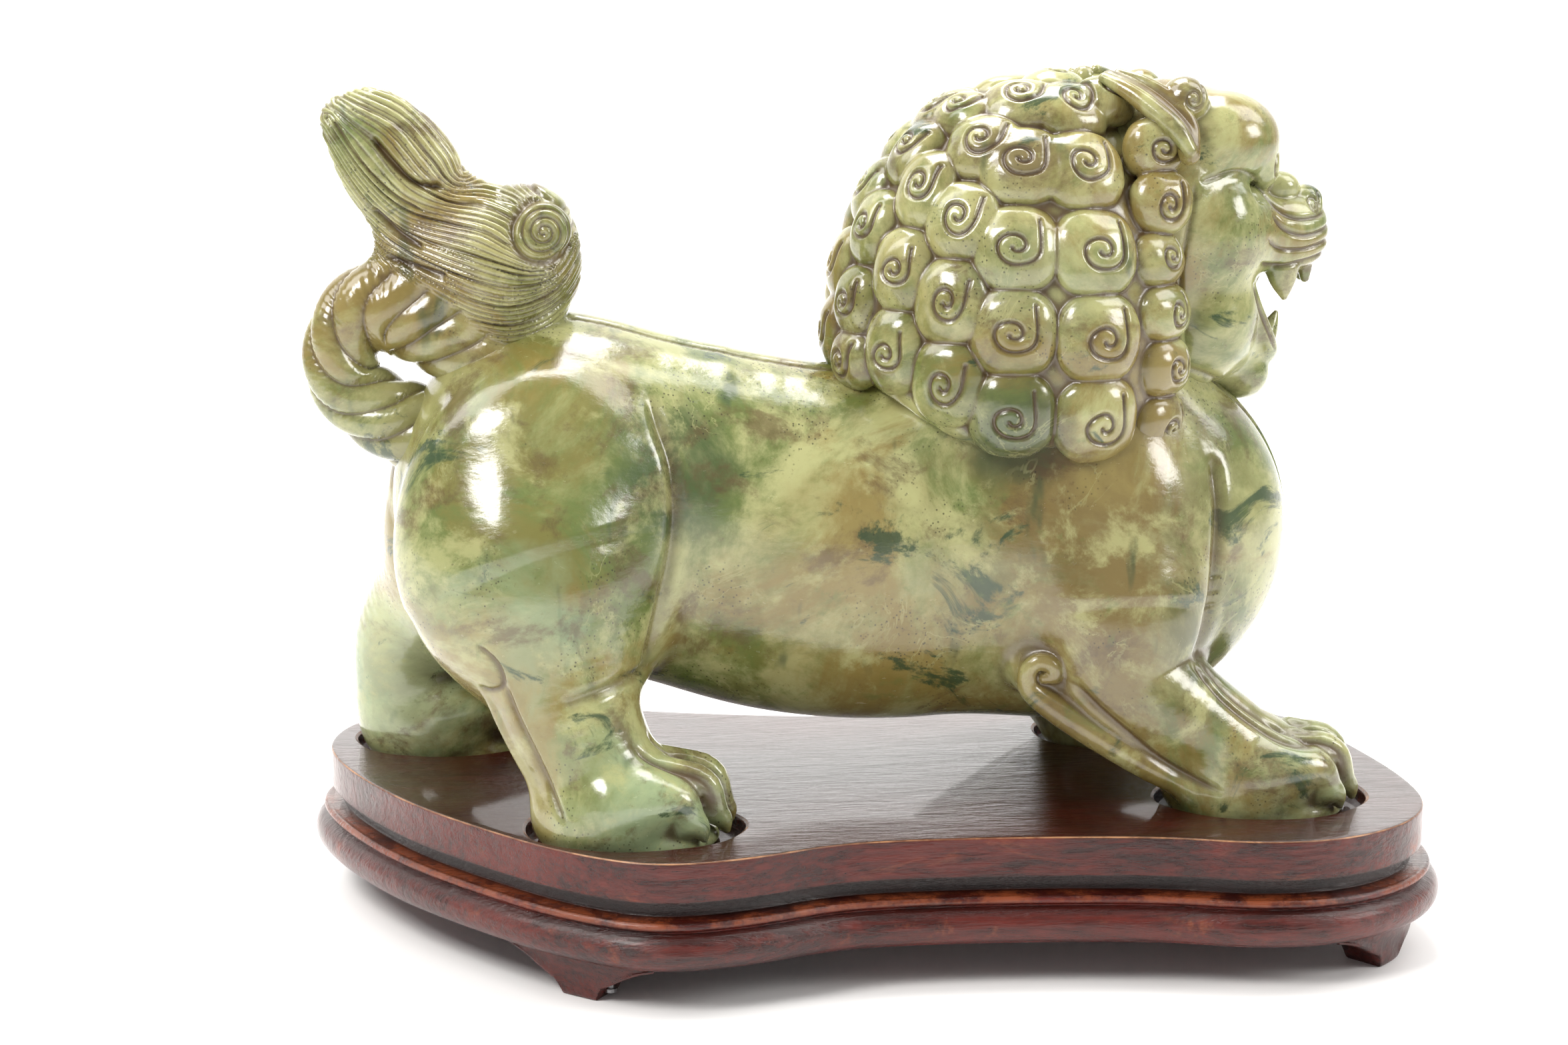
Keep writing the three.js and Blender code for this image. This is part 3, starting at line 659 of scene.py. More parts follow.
def sculptFace():
    clay = Clay((-24, -30, 108), (52, 30, 199), look["head"])
    clay.egg((4, 0, 160), (21, 21, 31), soft=0)
    clay.egg((10, 0, 179), (14, 9, 10.5), soft=4)
    for s in (-1, 1):
        (x, y, z), radii = faceShape["brow"]
        clay.egg((x, s * y, z), radii, soft=3)
        (x, y, z), radii = faceShape["browTip"]
        clay.egg((x, s * y, z), radii, soft=3)
        (x, y, z), radii = faceShape["cheek"]
        clay.egg((x, s * y, z), radii, soft=1.2)
        (x, y, z), radii = faceShape["jaw"]
        clay.egg((x, s * y, z), radii, (0, 20, 0), 4)
        clay.egg((4.5, s * 13, 187.5), (5.2, 5.2, 5.0), soft=1.2)  # bun beside the ear
        clay.egg((20, s * 10.5, 166), (6, 6, 3.2), (0, 15, 0), 1.5, cut=True)  # eye hollow under the brow
        clay.egg((19.5, s * 10, 165), (4.6, 4.8, 3.6), soft=0.6)
    clay.egg((24, 0, 168), (9, 6.5, 6), (0, 30, 0), 4)  # bridge of the nose
    clay.block(*faceShape["muzzle"], 2.7, 2.5)
    for s in (-1, 1):
        clay.egg((21, s * 8.5, 157), (8, 8.2, 8.8), soft=4)
    for s in (-1, 1):
        clay.egg((31.5, s * 4.6, 166.8), (4.6, 4.2, 3.6), soft=1.2)
        clay.egg((38, s * 3.8, 163.6), (4.2, 4.2, 3.6), soft=1.2)
    # lower jaw hanging open, its face sloping back to the mouth corner
    clay.egg((17.5, 0, 134), (9.5, 12.5, 12), (0, -22, 0), 4)
    clay.egg((22.6, 0, 136.4), (5.4, 11.4, 11.5), (0, -25, 0), 2)
    clay.egg((25, 0, 124.5), (6.4, 9, 6.2), (0, -25, 0), 4)
    for line in bothSides(faceShape["lip"]):
        clay.limb(line, 1.4, 6)
    # mouth hollow, then tongue and fangs inside it
    clay.egg((28, 0, 143.5), (9.5, 8.4, 5.0), (0, -25, 0), 1.6, cut=True)
    clay.egg((23.5, 0, 138.5), (6.5, 5.2, 3.0), (0, 55, 0), 1.2)
    for s, fang, lowFang in zip((-1, 1), bothSides(faceShape["fang"]), bothSides(faceShape["lowFang"])):
        clay.limb(fang, 0.6, 5, 0.7)
        clay.limb(lowFang, 0.5, 5, 0.8)
        for x, y in ((38.5, 1.9), (37.9, 5.5)):  # front teeth
            clay.limb([(x, s * y, 149, 1.9), (x + 0.2, s * y, 146.2, 1.1)], 0.4, 3)
    # ears: a folded leaf with two rims
    for outer, inner in zip(bothSides(faceShape["ear"]), bothSides(faceShape["earFront"])):
        middle = [((a[0] + b[0]) / 2 - 0.2, (a[1] + b[1]) / 2 * 0.96, (a[2] + b[2]) / 2 - 1.2, 2.4)
                  for a, b in zip(outer, inner)]
        clay.limb(middle, 1.5, 6)
        clay.limb(outer, 0.6, 6)
        clay.limb(inner, 0.6, 6)
    return biggestShell(*clay.skin())


def makeHead(material):
    points, quads = sculptFace()
    p = relaxed(points, quads, 1)
    normals = normalsOf(p, quads)
    side = np.abs(p[:, 1])
    q = np.column_stack([p[:, 0], side, p[:, 2]])  # both cheeks carved alike
    cut = np.zeros(len(p))
    dark = np.zeros(len(p))

    def carveLine(line, away, width, depth, shade=0.8, region=None):
        nonlocal cut, dark
        flat = q.copy()
        flat[:, 1] = np.where((side > away[0]) & (side < away[1]), 0, 1e3)
        if region is not None:
            flat[:, 1] = np.where(region, flat[:, 1], 1e3)
        dent = groove(flat, [(x, 0, z) for x, z in line], width, depth)
        cut += dent
        dark = np.maximum(dark, shade * dent / depth)

    whiskers = [
        [(24.5, 167.5), (27.5, 163), (32, 160.6), (38, 160.8), (42, 161.8)],
        [(25.2, 162.5), (28.5, 158.6), (33.5, 156.8), (39.5, 157.6), (44, 159.2)],
        [(23.2, 157), (27.5, 154.2), (33, 153.6), (39, 154.6), (45, 156)],
        [(21.8, 151.4), (27.5, 150), (34, 150.6), (40, 152), (45, 153.2)],
    ]
    muzzle = p[:, 0] > 22
    for line in whiskers:
        carveLine(line, (4.5, 30), 1.1, 0.75, 0.9, muzzle)
    # along the lip, under the brow, behind the cheek
    carveLine([(21.5, 147), (24, 140.5), (27.6, 134), (30.5, 130)], (5, 30), 0.9, 0.6, 0.9)
    carveLine([(5.5, 170), (9.5, 171), (15, 172), (20, 170.6), (23, 168)], (9, 40), 1.2, 0.6, 0.45)
    carveLine([(5, 171), (3.8, 164), (2.4, 156), (2, 149), (3, 140)], (12, 40), 1.6, 0.7, 0.5)
    carveLine([(4, 129), (10, 127), (16, 124)], (4, 40), 1.6, 0.6, 0.5)  # throat
    carveLine([(27.2, 175.5), (26.4, 172), (27.6, 169)], (3, 30), 1.0, 0.8, 0.9)  # curl at the brow's tip
    high = normals[:, 2] > 0.2
    carveLine([(8, 187.5), (12, 188), (16, 186.5), (18.5, 183.5)], (3, 9), 1.0, 0.6, 0.8, high)
    for centre, size in (((5.0, 16.5, 188), 2.6), ((38.2, 7.0, 163.4), 1.8)):
        gap = lineGap(q[:, 0] - centre[0], q[:, 2] - centre[2], coilLine(size))
        dent = np.where(np.linalg.norm(q - centre, axis=1) < 6.5, 0.6 * np.exp(-(gap / 0.5) ** 2), 0)
        cut += dent
        dark = np.maximum(dark, dent)
    # ear hollow
    hollow = (np.array(faceShape["ear"]) + np.array(faceShape["earFront"]))[:, :3] / 2
    _, gap, _ = alongCurve(q, curveThrough(hollow, 6))
    dark = np.maximum(dark, 0.9 * np.exp(-(gap / 1.9) ** 2))
    deep = hollowness(p, quads, normals, 2.6)
    dark = np.maximum(dark, 0.6 * step(0.25, 1.2, deep))
    # painted shade inside the open mouth: its hollow, tongue and fangs are darkened in the same mask as the
    # brown patina of the grooves
    mouth = np.linalg.norm((p - (24, 0, 143)) / (9.5, 9, 7.5), axis=1)
    dark = np.maximum(dark, 0.7 * step(1.25, 0.9, mouth))
    p = p - normals * cut[:, None]
    turn = math.radians(faceShape["turn"])
    c, s = math.cos(turn), math.sin(turn)
    x, y = faceShape["neck"]
    p = np.column_stack([x + p[:, 0] * c - p[:, 1] * s, y + p[:, 0] * s + p[:, 1] * c, p[:, 2]])
    mesh = meshOf("lion_head", p, quads)
    addPiece("lion_head", mesh, material, "figure", ["jade_lion"], {"grimeAndShade": np.clip(dark, 0, 1)})


# tail: a twisted rope ending in a swirl of combed hair

tailShape = {
    "rope": [(-86, 0, 107, 11), (-97, 0, 114, 10.4), (-107, 0, 118.8, 9.2), (-115.2, 0, 126.4, 8.6),
             (-115.0, 0, 136, 8.8), (-108, 0, 142.8, 10.2), (-97, 0, 140.6, 11.4), (-85, 0, 134, 12)],
    "plume": [(-90, 0, 159, 11), (-97, 0, 165.5, 12), (-102.6, 0, 173.5, 12.6), (-107.2, 0, 180.5, 10.2),
              (-109.5, 0, 183.5, 6.2)],
    "tip": [(-106, 0, 176, 9), (-112.4, 0, 182.4, 6.4), (-114.4, 0, 184.4, 4.4)],
    "hair": [(-100, 0, 155.5, 7.5), (-92, 0, 154.5, 12), (-83, 0, 153.5, 15.5), (-79.5, 0, 152.5, 15.6)],
    "knob": ((-71.2, 10.5, 160.3), (6.6, 4.6, 6.6)),
    "combs": [  # how the strands run, from the plume's tip round to the knob
        [(-112, 192), (-100, 188), (-91, 178), (-88.5, 172), (-84, 172.6), (-77, 171), (-72, 168),
         (-66.5, 164)],
        [(-115, 188), (-104, 182), (-96.5, 173), (-91, 168.6), (-84, 168), (-77, 166), (-74.5, 162.5),
         (-74, 158.5)],
        [(-117, 184), (-109, 172.5), (-101, 165.5), (-92, 163), (-84, 161.5), (-77, 157.5), (-72, 154.8),
         (-66, 158)],
        [(-119, 181), (-111.4, 168), (-103.9, 161), (-94.8, 157), (-83, 153.8), (-74, 151.5), (-68, 152.5),
         (-64, 158)],
        [(-121, 176), (-111, 161), (-101.4, 153.9), (-89.4, 148.3), (-79, 145.6), (-70.5, 147.6),
         (-65.5, 152), (-62, 158)],
        [(-116, 163), (-104.9, 153), (-96.5, 146.5), (-88, 141.5), (-78, 139.8), (-69.4, 142.8),
         (-63.5, 148.5), (-60, 157)],
        [(-108, 153), (-100, 145.5), (-92, 138), (-84, 134.5), (-77, 134), (-67, 137), (-60.5, 144),
         (-57, 156)],
    ],
    "strand": 1.25,
}


def combed(p):
    # a number that stays level along the strands and rises by one from comb line to comb line
    flat = np.column_stack([p[:, 0], np.zeros(len(p)), p[:, 2]])
    gaps = []
    for line in tailShape["combs"]:
        _, gap, _ = alongCurve(flat, curveThrough([(x, 0, z) for x, z in line], 4))
        gaps.append(gap + 1e-3)
    gaps = np.array(gaps)
    first = gaps[:-1] + gaps[1:]
    k = first.argmin(0)
    rows = np.arange(len(p))
    a, b = gaps[k, rows], gaps[k + 1, rows]
    return k + a / (a + b), a + b


def makeTail(material):
    clay = Clay((-134, -26, 96), (-52, 27, 199), look["tail"])
    clay.limb(tailShape["rope"], 2)
    rope = curveThrough(tailShape["rope"], 10)
    clay.limb(tailShape["plume"], 3, flat=0.72)
    clay.limb(tailShape["tip"], 2, flat=0.85)
    clay.limb(tailShape["hair"], 5, flat=0.98)
    clay.egg((-80, 0, 150), (16.5, 15.5, 14), soft=4)
    clay.egg((-73, 0, 158), (8.8, 13, 11.5), soft=4)
    for s in (-1, 1):
        (x, y, z), radii = tailShape["knob"]
        clay.egg((x, s * y, z), radii, soft=0.8)
    clay.limb([(-77, 0, 124, 14), (-80, 0, 138, 12)], 5)
    points, quads = biggestShell(*clay.skin())
    p = relaxed(points, quads, 1)
    normals = normalsOf(p, quads)
    cut = np.zeros(len(p))
    # the rope's share of the skin, and its twist
    place, gap, index = alongCurve(p, rope)
    ropeRadius = rope[index, 3]
    onRope = step(3.2, 0.8, gap - ropeRadius) * step(-70, -88, p[:, 0]) * step(156, 150, p[:, 2])
    hairLine = 152 - 0.55 * (p[:, 0] + 104)  # rope below, hair above
    onRope *= step(1.2, -1.2, p[:, 2] - hairLine)
    line = rope[index, :3]
    ahead = rope[np.minimum(index + 1, len(rope) - 1), :3] - line
    ahead /= np.linalg.norm(ahead, axis=1, keepdims=True) + 1e-9
    out = p - line
    inward = np.column_stack([ahead[:, 2], np.zeros(len(p)), -ahead[:, 0]])
    angle = np.arctan2(out[:, 1], (out * inward).sum(1))
    twist = place / 8.4 + angle * 5 / (2 * math.pi)
    wave = np.abs(np.sin(math.pi * twist))
    cut += onRope * (1.3 * (1 - wave ** 0.8))
    ropeDark = onRope * (0.7 * np.exp(-(wave / 0.16) ** 2) + 0.25 * np.exp(-(wave / 0.5) ** 2))
    # combed hair
    level, width = combed(p)
    strands = level * 5.2 + 0.3 * wander(p, 26, 5) + 0.12 * wander(p, 9, 6)
    fine = np.abs(np.sin(math.pi * strands))
    broad = np.abs(np.sin(math.pi * (level * 1.4 + 0.1 * wander(p, 30, 8))))
    onHair = (1 - onRope) * step(133, 137, p[:, 2] + 0.25 * (p[:, 0] + 80))
    (kx, ky, kz), _ = tailShape["knob"]
    q = np.column_stack([p[:, 0], np.abs(p[:, 1]), p[:, 2]])
    onKnob = step(8.2, 6.6, np.linalg.norm((q - (kx, ky + 2, kz)) / (1, 1.4, 1), axis=1))
    uneven = 0.7 + 0.35 * wander(p, 14, 9)
    cleft = np.exp(-(broad / 0.2) ** 2)
    cut += onHair * (1 - onKnob) * (0.75 * uneven * (1 - fine ** 0.8) + 0.7 * cleft)
    hairDark = onHair * (1 - onKnob) * np.clip(0.75 * np.exp(-(fine / 0.3) ** 2) + 0.5 * cleft, 0, 1)
    # the knob's coil, and a groove round it
    around = np.arctan2(p[:, 2] - kz, p[:, 0] - kx)
    away = np.hypot(p[:, 0] - kx, p[:, 2] - kz)
    coil = np.abs(np.sin(math.pi * (away / 1.9 + around / (2 * math.pi))))
    cut += onKnob * 0.7 * (1 - coil)
    ring = np.exp(-((away - 6.9) / 0.8) ** 2) * (np.abs(p[:, 1]) > 8)
    cut += 0.6 * ring
    # cleft between the plume's locks
    flat = q.copy()
    flat[:, 1] = 0
    for lock, deep in (([(-108, 181), (-103.5, 175), (-98.5, 170.6), (-91.5, 169.5)], 1.6),
                       ([(-108.5, 165), (-103, 160), (-97, 156.5)], 1.3),
                       ([(-106, 154.5), (-99, 152.6), (-92, 150.5)], 1.2)):
        dent = groove(flat, [(x, 0, z) for x, z in lock], 1.6, deep)
        cut += 1.2 * dent * (q[:, 1] > 1)
        hairDark = np.maximum(hairDark, dent / deep)
    dark = np.clip(np.maximum(ropeDark * 0.8, hairDark), 0, 1)
    dark = np.maximum(dark, np.maximum(onKnob * np.exp(-(coil / 0.35) ** 2), ring) * 0.8)
    p = p - normals * cut[:, None]
    mesh = meshOf("lion_tail", p, quads)
    addPiece("lion_tail", mesh, material, "figure", ["jade_lion"], {"grimeAndShade": dark})


# the stand

standShape = {
    "steps": 720,
    "arris": 0.55,
    "pocket": 2.2,
    "pocketDepth": 3.0,
}


def edgeOutline():
    # the panel's edge, from its lower rim, as an evenly spaced closed line with the way out at each point
    corners = np.array([v.co for v in frame["nodes"]["top_panel"].data.vertices]) / mm
    rim = corners[np.abs(corners[:, 2] - bedTop) < 0.05][:, :2]
    for k in range(1, 5):
        low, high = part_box("dowel_" + str(k))
        hole = np.array((low.x + high.x, low.y + high.y)) / 2 / mm
        rim = rim[np.linalg.norm(rim - hole, axis=1) > 8]
    rim = np.unique(np.round(rim, 2), axis=0)
    walk = [0]
    left = set(range(1, len(rim)))
    while left:  # on to the nearest corner not yet passed
        walk.append(min(left, key=lambda v: np.linalg.norm(rim[v] - rim[walk[-1]])))
        left.remove(walk[-1])
    rim = rim[walk]
    ahead = np.roll(rim, -1, 0)
    if (rim[:, 0] * ahead[:, 1] - ahead[:, 0] * rim[:, 1]).sum() < 0:
        rim = rim[::-1]
    closed = np.vstack([rim, rim[:1]])
    place = np.concatenate([[0], np.cumsum(np.linalg.norm(np.diff(closed, axis=0), axis=1))])
    even = np.linspace(0, place[-1], standShape["steps"], endpoint=False)
    line = np.stack([np.interp(even, place, closed[:, k]) for k in range(2)], 1)
    waves = np.fft.rfft(line, axis=0)
    waves *= np.exp(-(np.arange(len(waves)) / 36.0) ** 2)[:, None]
    line = np.fft.irfft(waves, n=len(line), axis=0)
    ahead = np.roll(line, -1, 0) - np.roll(line, 1, 0)
    out = np.stack([ahead[:, 1], -ahead[:, 0]], 1)
    return line, out / np.linalg.norm(out, axis=1, keepdims=True), place[-1]


def loftRings(rings):
    # rings of equal count, closed by a flat cap at each end
    count = len(rings[0])
    points = np.vstack(rings)
    faces = []
    for r in range(len(rings) - 1):
        a = r * count
        for i in range(count):
            j = (i + 1) % count
            faces.append((a + i, a + j, a + count + j, a + count + i))
    faces.append(tuple(range(count - 1, -1, -1)))
    faces.append(tuple((len(rings) - 1) * count + i for i in range(count)))
    return points, faces


def solidMesh(name, points, faces):
    mesh = bpy.data.meshes.new(name)
    mesh.from_pydata((np.asarray(points) * mm).tolist(), [], faces)
    mesh.update()
    return mesh


def finished(mesh, angle=35):
    mesh.polygons.foreach_set("use_smooth", [True] * len(mesh.polygons))
    mesh.set_sharp_from_angle(angle=math.radians(angle))
    return mesh


def boarded(profile):
    line, out, _ = edgeOutline()
    rings = [np.column_stack([line + out * reach, np.full(len(line), z)]) for reach, z in profile]
    return loftRings(rings)


def carvedOut(mesh, tools):
    # cuts every tool out of the mesh and gives back the result
    piece = bpy.data.objects.new("blank", mesh)
    bpy.context.scene.collection.objects.link(piece)
    for tool in tools:
        cutter = bpy.data.objects.new("cutter", tool)
        bpy.context.scene.collection.objects.link(cutter)
        cut = piece.modifiers.new("cut", "BOOLEAN")
        cut.operation = "DIFFERENCE"
        cut.solver = "EXACT"
        cut.object = cutter
    done = bpy.data.meshes.new_from_object(piece.evaluated_get(bpy.context.evaluated_depsgraph_get()))
    for spare in [o for o in bpy.data.objects if o.name.startswith(("blank", "cutter"))]:
        bpy.data.objects.remove(spare)
    return done


def pocketTool(paw):
    x, y, turn = paws[paw]
    floor = -standShape["pocketDepth"]
    profile = [(-1.6, floor), (-0.5, floor + 0.25), (-0.1, floor + 1.0), (0, -0.9), (0.25, -0.35), (0.9, 0.0),
               (1.4, 0.6)]
    rings = []
    for grow, z in profile:
        a = np.linspace(0, 2 * math.pi, 96, endpoint=False)
        u = (pawSize[0] / 2 + standShape["pocket"] + grow) * np.cos(a)
        v = (pawSize[1] / 2 + standShape["pocket"] + grow) * np.sin(a)
        wobble = 1 + 0.012 * np.sin(3 * a + x) + 0.008 * np.sin(7 * a + y)
        u, v = u * wobble, v * wobble
        rings.append(np.column_stack([x + u * math.cos(turn) - v * math.sin(turn),
                                      y + u * math.sin(turn) + v * math.cos(turn),
                                      np.full(len(a), deckTop + z)]))
    return solidMesh("pocket", *loftRings(rings))


def makePanel(material):
    r = standShape["arris"]
    profile = [(-0.5, bedTop), (-0.1, bedTop + 0.12), (0, bedTop + 0.5)]
    profile += [(0, bedTop + 0.5 + (deckTop - r - bedTop - 0.5) * k / 6) for k in range(1, 7)]
    profile += [(-r + r * math.cos(a), deckTop - r + r * math.sin(a))
                for a in np.radians([18, 36, 54, 72, 90])]
    profile += [(-r - 1.2, deckTop + 0.02)]
    mesh = carvedOut(solidMesh("panel", *boarded(profile)), [pocketTool(paw) for paw in paws])
    addPiece("stand_panel", finished(mesh), material, "stand", ["top_panel"])


def makeMoulding(material):
    low = footTop + 0.8
    mid = low + 4.0
    profile = [(-1.4, footTop), (-0.4, footTop + 0.15), (0.5, footTop + 0.35), (0.8, low)]
    profile += [(0.8 + 3.3 * math.cos(a), mid + 3.9 * math.sin(a)) for a in np.radians(np.arange(-78, 79, 9))]
    floor = bedTop - 3.5
    profile += [(1.15, floor - 2.55), (1.2, floor - 2.25)]
    profile += [(0.9 + 1.1 * math.cos(a), floor - 1.25 + 0.95 * math.sin(a))
                for a in np.radians(np.arange(-60, 91, 15))]
    profile += [(0.2, floor - 0.45), (-0.2, floor - 0.3), (-1.6, floor - 0.25), (-2.4, floor)]
    profile += [(-2.6, floor + 0.5), (-2.6, bedTop - 0.02)]
    mesh = solidMesh("moulding", *boarded(profile))
    addPiece("stand_moulding", finished(mesh, 50), material, "stand", ["base_moulding"])


footShape = {"span": 40.0, "toe": 9.5, "toeHeight": 3.2, "thick": 13.0, "inset": 1.0}


def footUnderside(distance):
    toe = footShape["toe"] / 2
    if distance <= toe:
        return 0.0
    if distance <= toe + 1.1:
        return footShape["toeHeight"] * step(0, 1.1, distance - toe) * 0.92
    t = (distance - toe - 1.1) / (footShape["span"] / 2 - toe - 1.1)
    low = footShape["toeHeight"] * 0.92
    return low + (footTop - 1.2 - low) * math.sin(t * math.pi / 2) ** 1.25


def makeFoot(name, material):
    line, out, length = edgeOutline()
    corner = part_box(name)
    middle = np.array([(corner[0].x + corner[1].x) / 2, (corner[0].y + corner[1].y) / 2]) / mm
    rim = line - out * (footShape["inset"] + footShape["thick"] / 2)
    start = int(np.linalg.norm(rim - middle, axis=1).argmin())
    spacing = length / len(line)
    reach = int(footShape["span"] / 2 / spacing)
    rings = []
    for k in range(-reach, reach + 1):
        i = (start + k) % len(line)
        distance = abs(k * spacing)
        low = footUnderside(distance)
        lean = 1.7 * (1 - low / footTop) ** 1.5
        tip = 0.5 * step(footShape["span"] / 2 - 3, footShape["span"] / 2, distance)
        outer, inner = -footShape["inset"] - tip, -footShape["inset"] - footShape["thick"] + tip
        section = [(outer - 0.1, footTop - 0.02)]
        for t in (0.12, 0.3, 0.5, 0.7, 0.88, 1.0):
            bow = 0.25 * math.sin(t * math.pi)
            section.append((outer - lean * t ** 0.7 - bow, footTop + (low + 0.7 - footTop) * t))
        section += [(outer - lean - 0.25, low + 0.2), (outer - lean - 0.8, low), (inner + lean + 0.8, low)]
        section += [(inner + lean + 0.2, low + 0.3), (inner + lean * 0.5, (low + footTop) / 2)]
        section += [(inner, footTop - 0.02)]
        rings.append(np.array([(*(line[i] + out[i] * beyond), z) for beyond, z in section]))
    points, faces = loftRings(rings)
    mesh = solidMesh(name, points, faces)
    addPiece("stand_" + name, finished(mesh, 40), material, "stand", [name])


# materials

class Value:  # a node socket that takes part in plain arithmetic
    def __init__(self, paint, socket):
        self.paint, self.socket = paint, socket

    def sum(self, kind, *others):
        return self.paint.node("ShaderNodeMath", {"operation": kind}, dict(enumerate((self, *others))))

    def __add__(self, other):
        return self.sum("ADD", other)

    def __mul__(self, other):
        return self.sum("MULTIPLY", other)

    def __sub__(self, other):
        return self.sum("SUBTRACT", other)

    def __rsub__(self, other):
        return self.paint.node("ShaderNodeMath", {"operation": "SUBTRACT"}, {0: other, 1: self})

    def __truediv__(self, other):
        return self.sum("DIVIDE", other)

    __radd__ = __add__
    __rmul__ = __mul__

    def least(self, other):
        return self.sum("MINIMUM", other)

    def between(self, low, high):
        # 0 below low, 1 above high, smooth in the middle
        return self.paint.node("ShaderNodeMapRange", {"interpolation_type": "SMOOTHSTEP"},
                               {"Value": self, "From Min": low, "From Max": high})


class Paint:  # one material and its nodes
    def __init__(self, name):
        self.material = bpy.data.materials.new(name)
        self.material.use_nodes = True
        self.tree = self.material.node_tree
        self.shader = self.tree.nodes["Principled BSDF"]

    def node(self, kind, settings=None, inputs=None, output=0):
        made = self.tree.nodes.new(kind)
        for key, value in (settings or {}).items():
            setattr(made, key, value)
        for key, value in (inputs or {}).items():
            self.feed(made.inputs[key], value)
        return Value(self, made.outputs[output])

    def feed(self, socket, value):
        if isinstance(value, Value):
            self.tree.links.new(value.socket, socket)
        elif isinstance(value, tuple) and len(value) == 3 and socket.type == "RGBA":
            socket.default_value = (*value, 1)
        else:
            socket.default_value = value

    def place(self, stretch=(1, 1, 1), turn=(0, 0, 0)):
        spot = self.node("ShaderNodeTexCoord", output="Object")
        return self.node("ShaderNodeMapping", {}, {"Vector": spot, "Scale": stretch, "Rotation": turn})

    def noise(self, spot, scale, detail=4.0, rough=0.55, twist=0.0, output="Fac"):
        return self.node("ShaderNodeTexNoise", {}, {"Vector": spot, "Scale": scale, "Detail": detail,
                                                    "Roughness": rough, "Distortion": twist}, output)

    def mixed(self, share, a, b):
        return self.node("ShaderNodeMix", {"data_type": "RGBA"}, {0: share, 6: a, 7: b}, 2)

    def mask(self, name):
        return self.node("ShaderNodeAttribute", {"attribute_name": name}, output="Fac")

    def finish(self, **sockets):
        for key, value in sockets.items():
            self.feed(self.shader.inputs[key.replace("_", " ")], value)
        return self.material


jadeLook = {
    "celadon": (0.365, 0.365, 0.165),
    "sage": (0.105, 0.138, 0.036),
    "mint": (0.27, 0.36, 0.215),
    "olive": (0.195, 0.135, 0.034),
    "brown": (0.085, 0.050, 0.020),
    "deep": (0.018, 0.046, 0.020),
    "speck": (0.020, 0.016, 0.010),
    # brown of the patina in the hollows, also used for the painted shade in the mouth
    "grimeAndShade": (0.072, 0.040, 0.014),
    "patches": [  # places with their own cast: middle, reach (m), how strongly, and which colour
        ((-0.078, -0.03, 0.105), 0.042, 0.45, "sage"),
        ((-0.045, -0.03, 0.110), 0.018, 0.55, "deep"),
        ((0.052, -0.03, 0.085), 0.040, 0.50, "brown"),
        ((0.000, -0.03, 0.070), 0.045, 0.35, "olive"),
        ((0.030, 0.0, 0.150), 0.060, 0.40, "olive"),
        ((0.028, -0.035, 0.118), 0.014, 0.65, "deep"),
        ((-0.095, 0.0, 0.150), 0.040, 0.35, "olive"),
        ((-0.060, -0.04, 0.040), 0.024, 0.45, "celadon"),
        ((0.075, -0.01, 0.105), 0.022, 0.40, "sage"),
        ((0.090, -0.03, 0.040), 0.022, 0.45, "mint"),
        ((-0.050, -0.05, 0.038), 0.022, 0.60, "mint"),
        ((-0.078, -0.05, 0.078), 0.020, 0.40, "mint"),
        ((0.010, -0.05, 0.092), 0.022, 0.35, "mint"),
        ((-0.100, 0.03, 0.050), 0.030, 0.50, "mint"),
        ((0.034, -0.03, 0.150), 0.016, 0.30, "mint"),
    ],
}


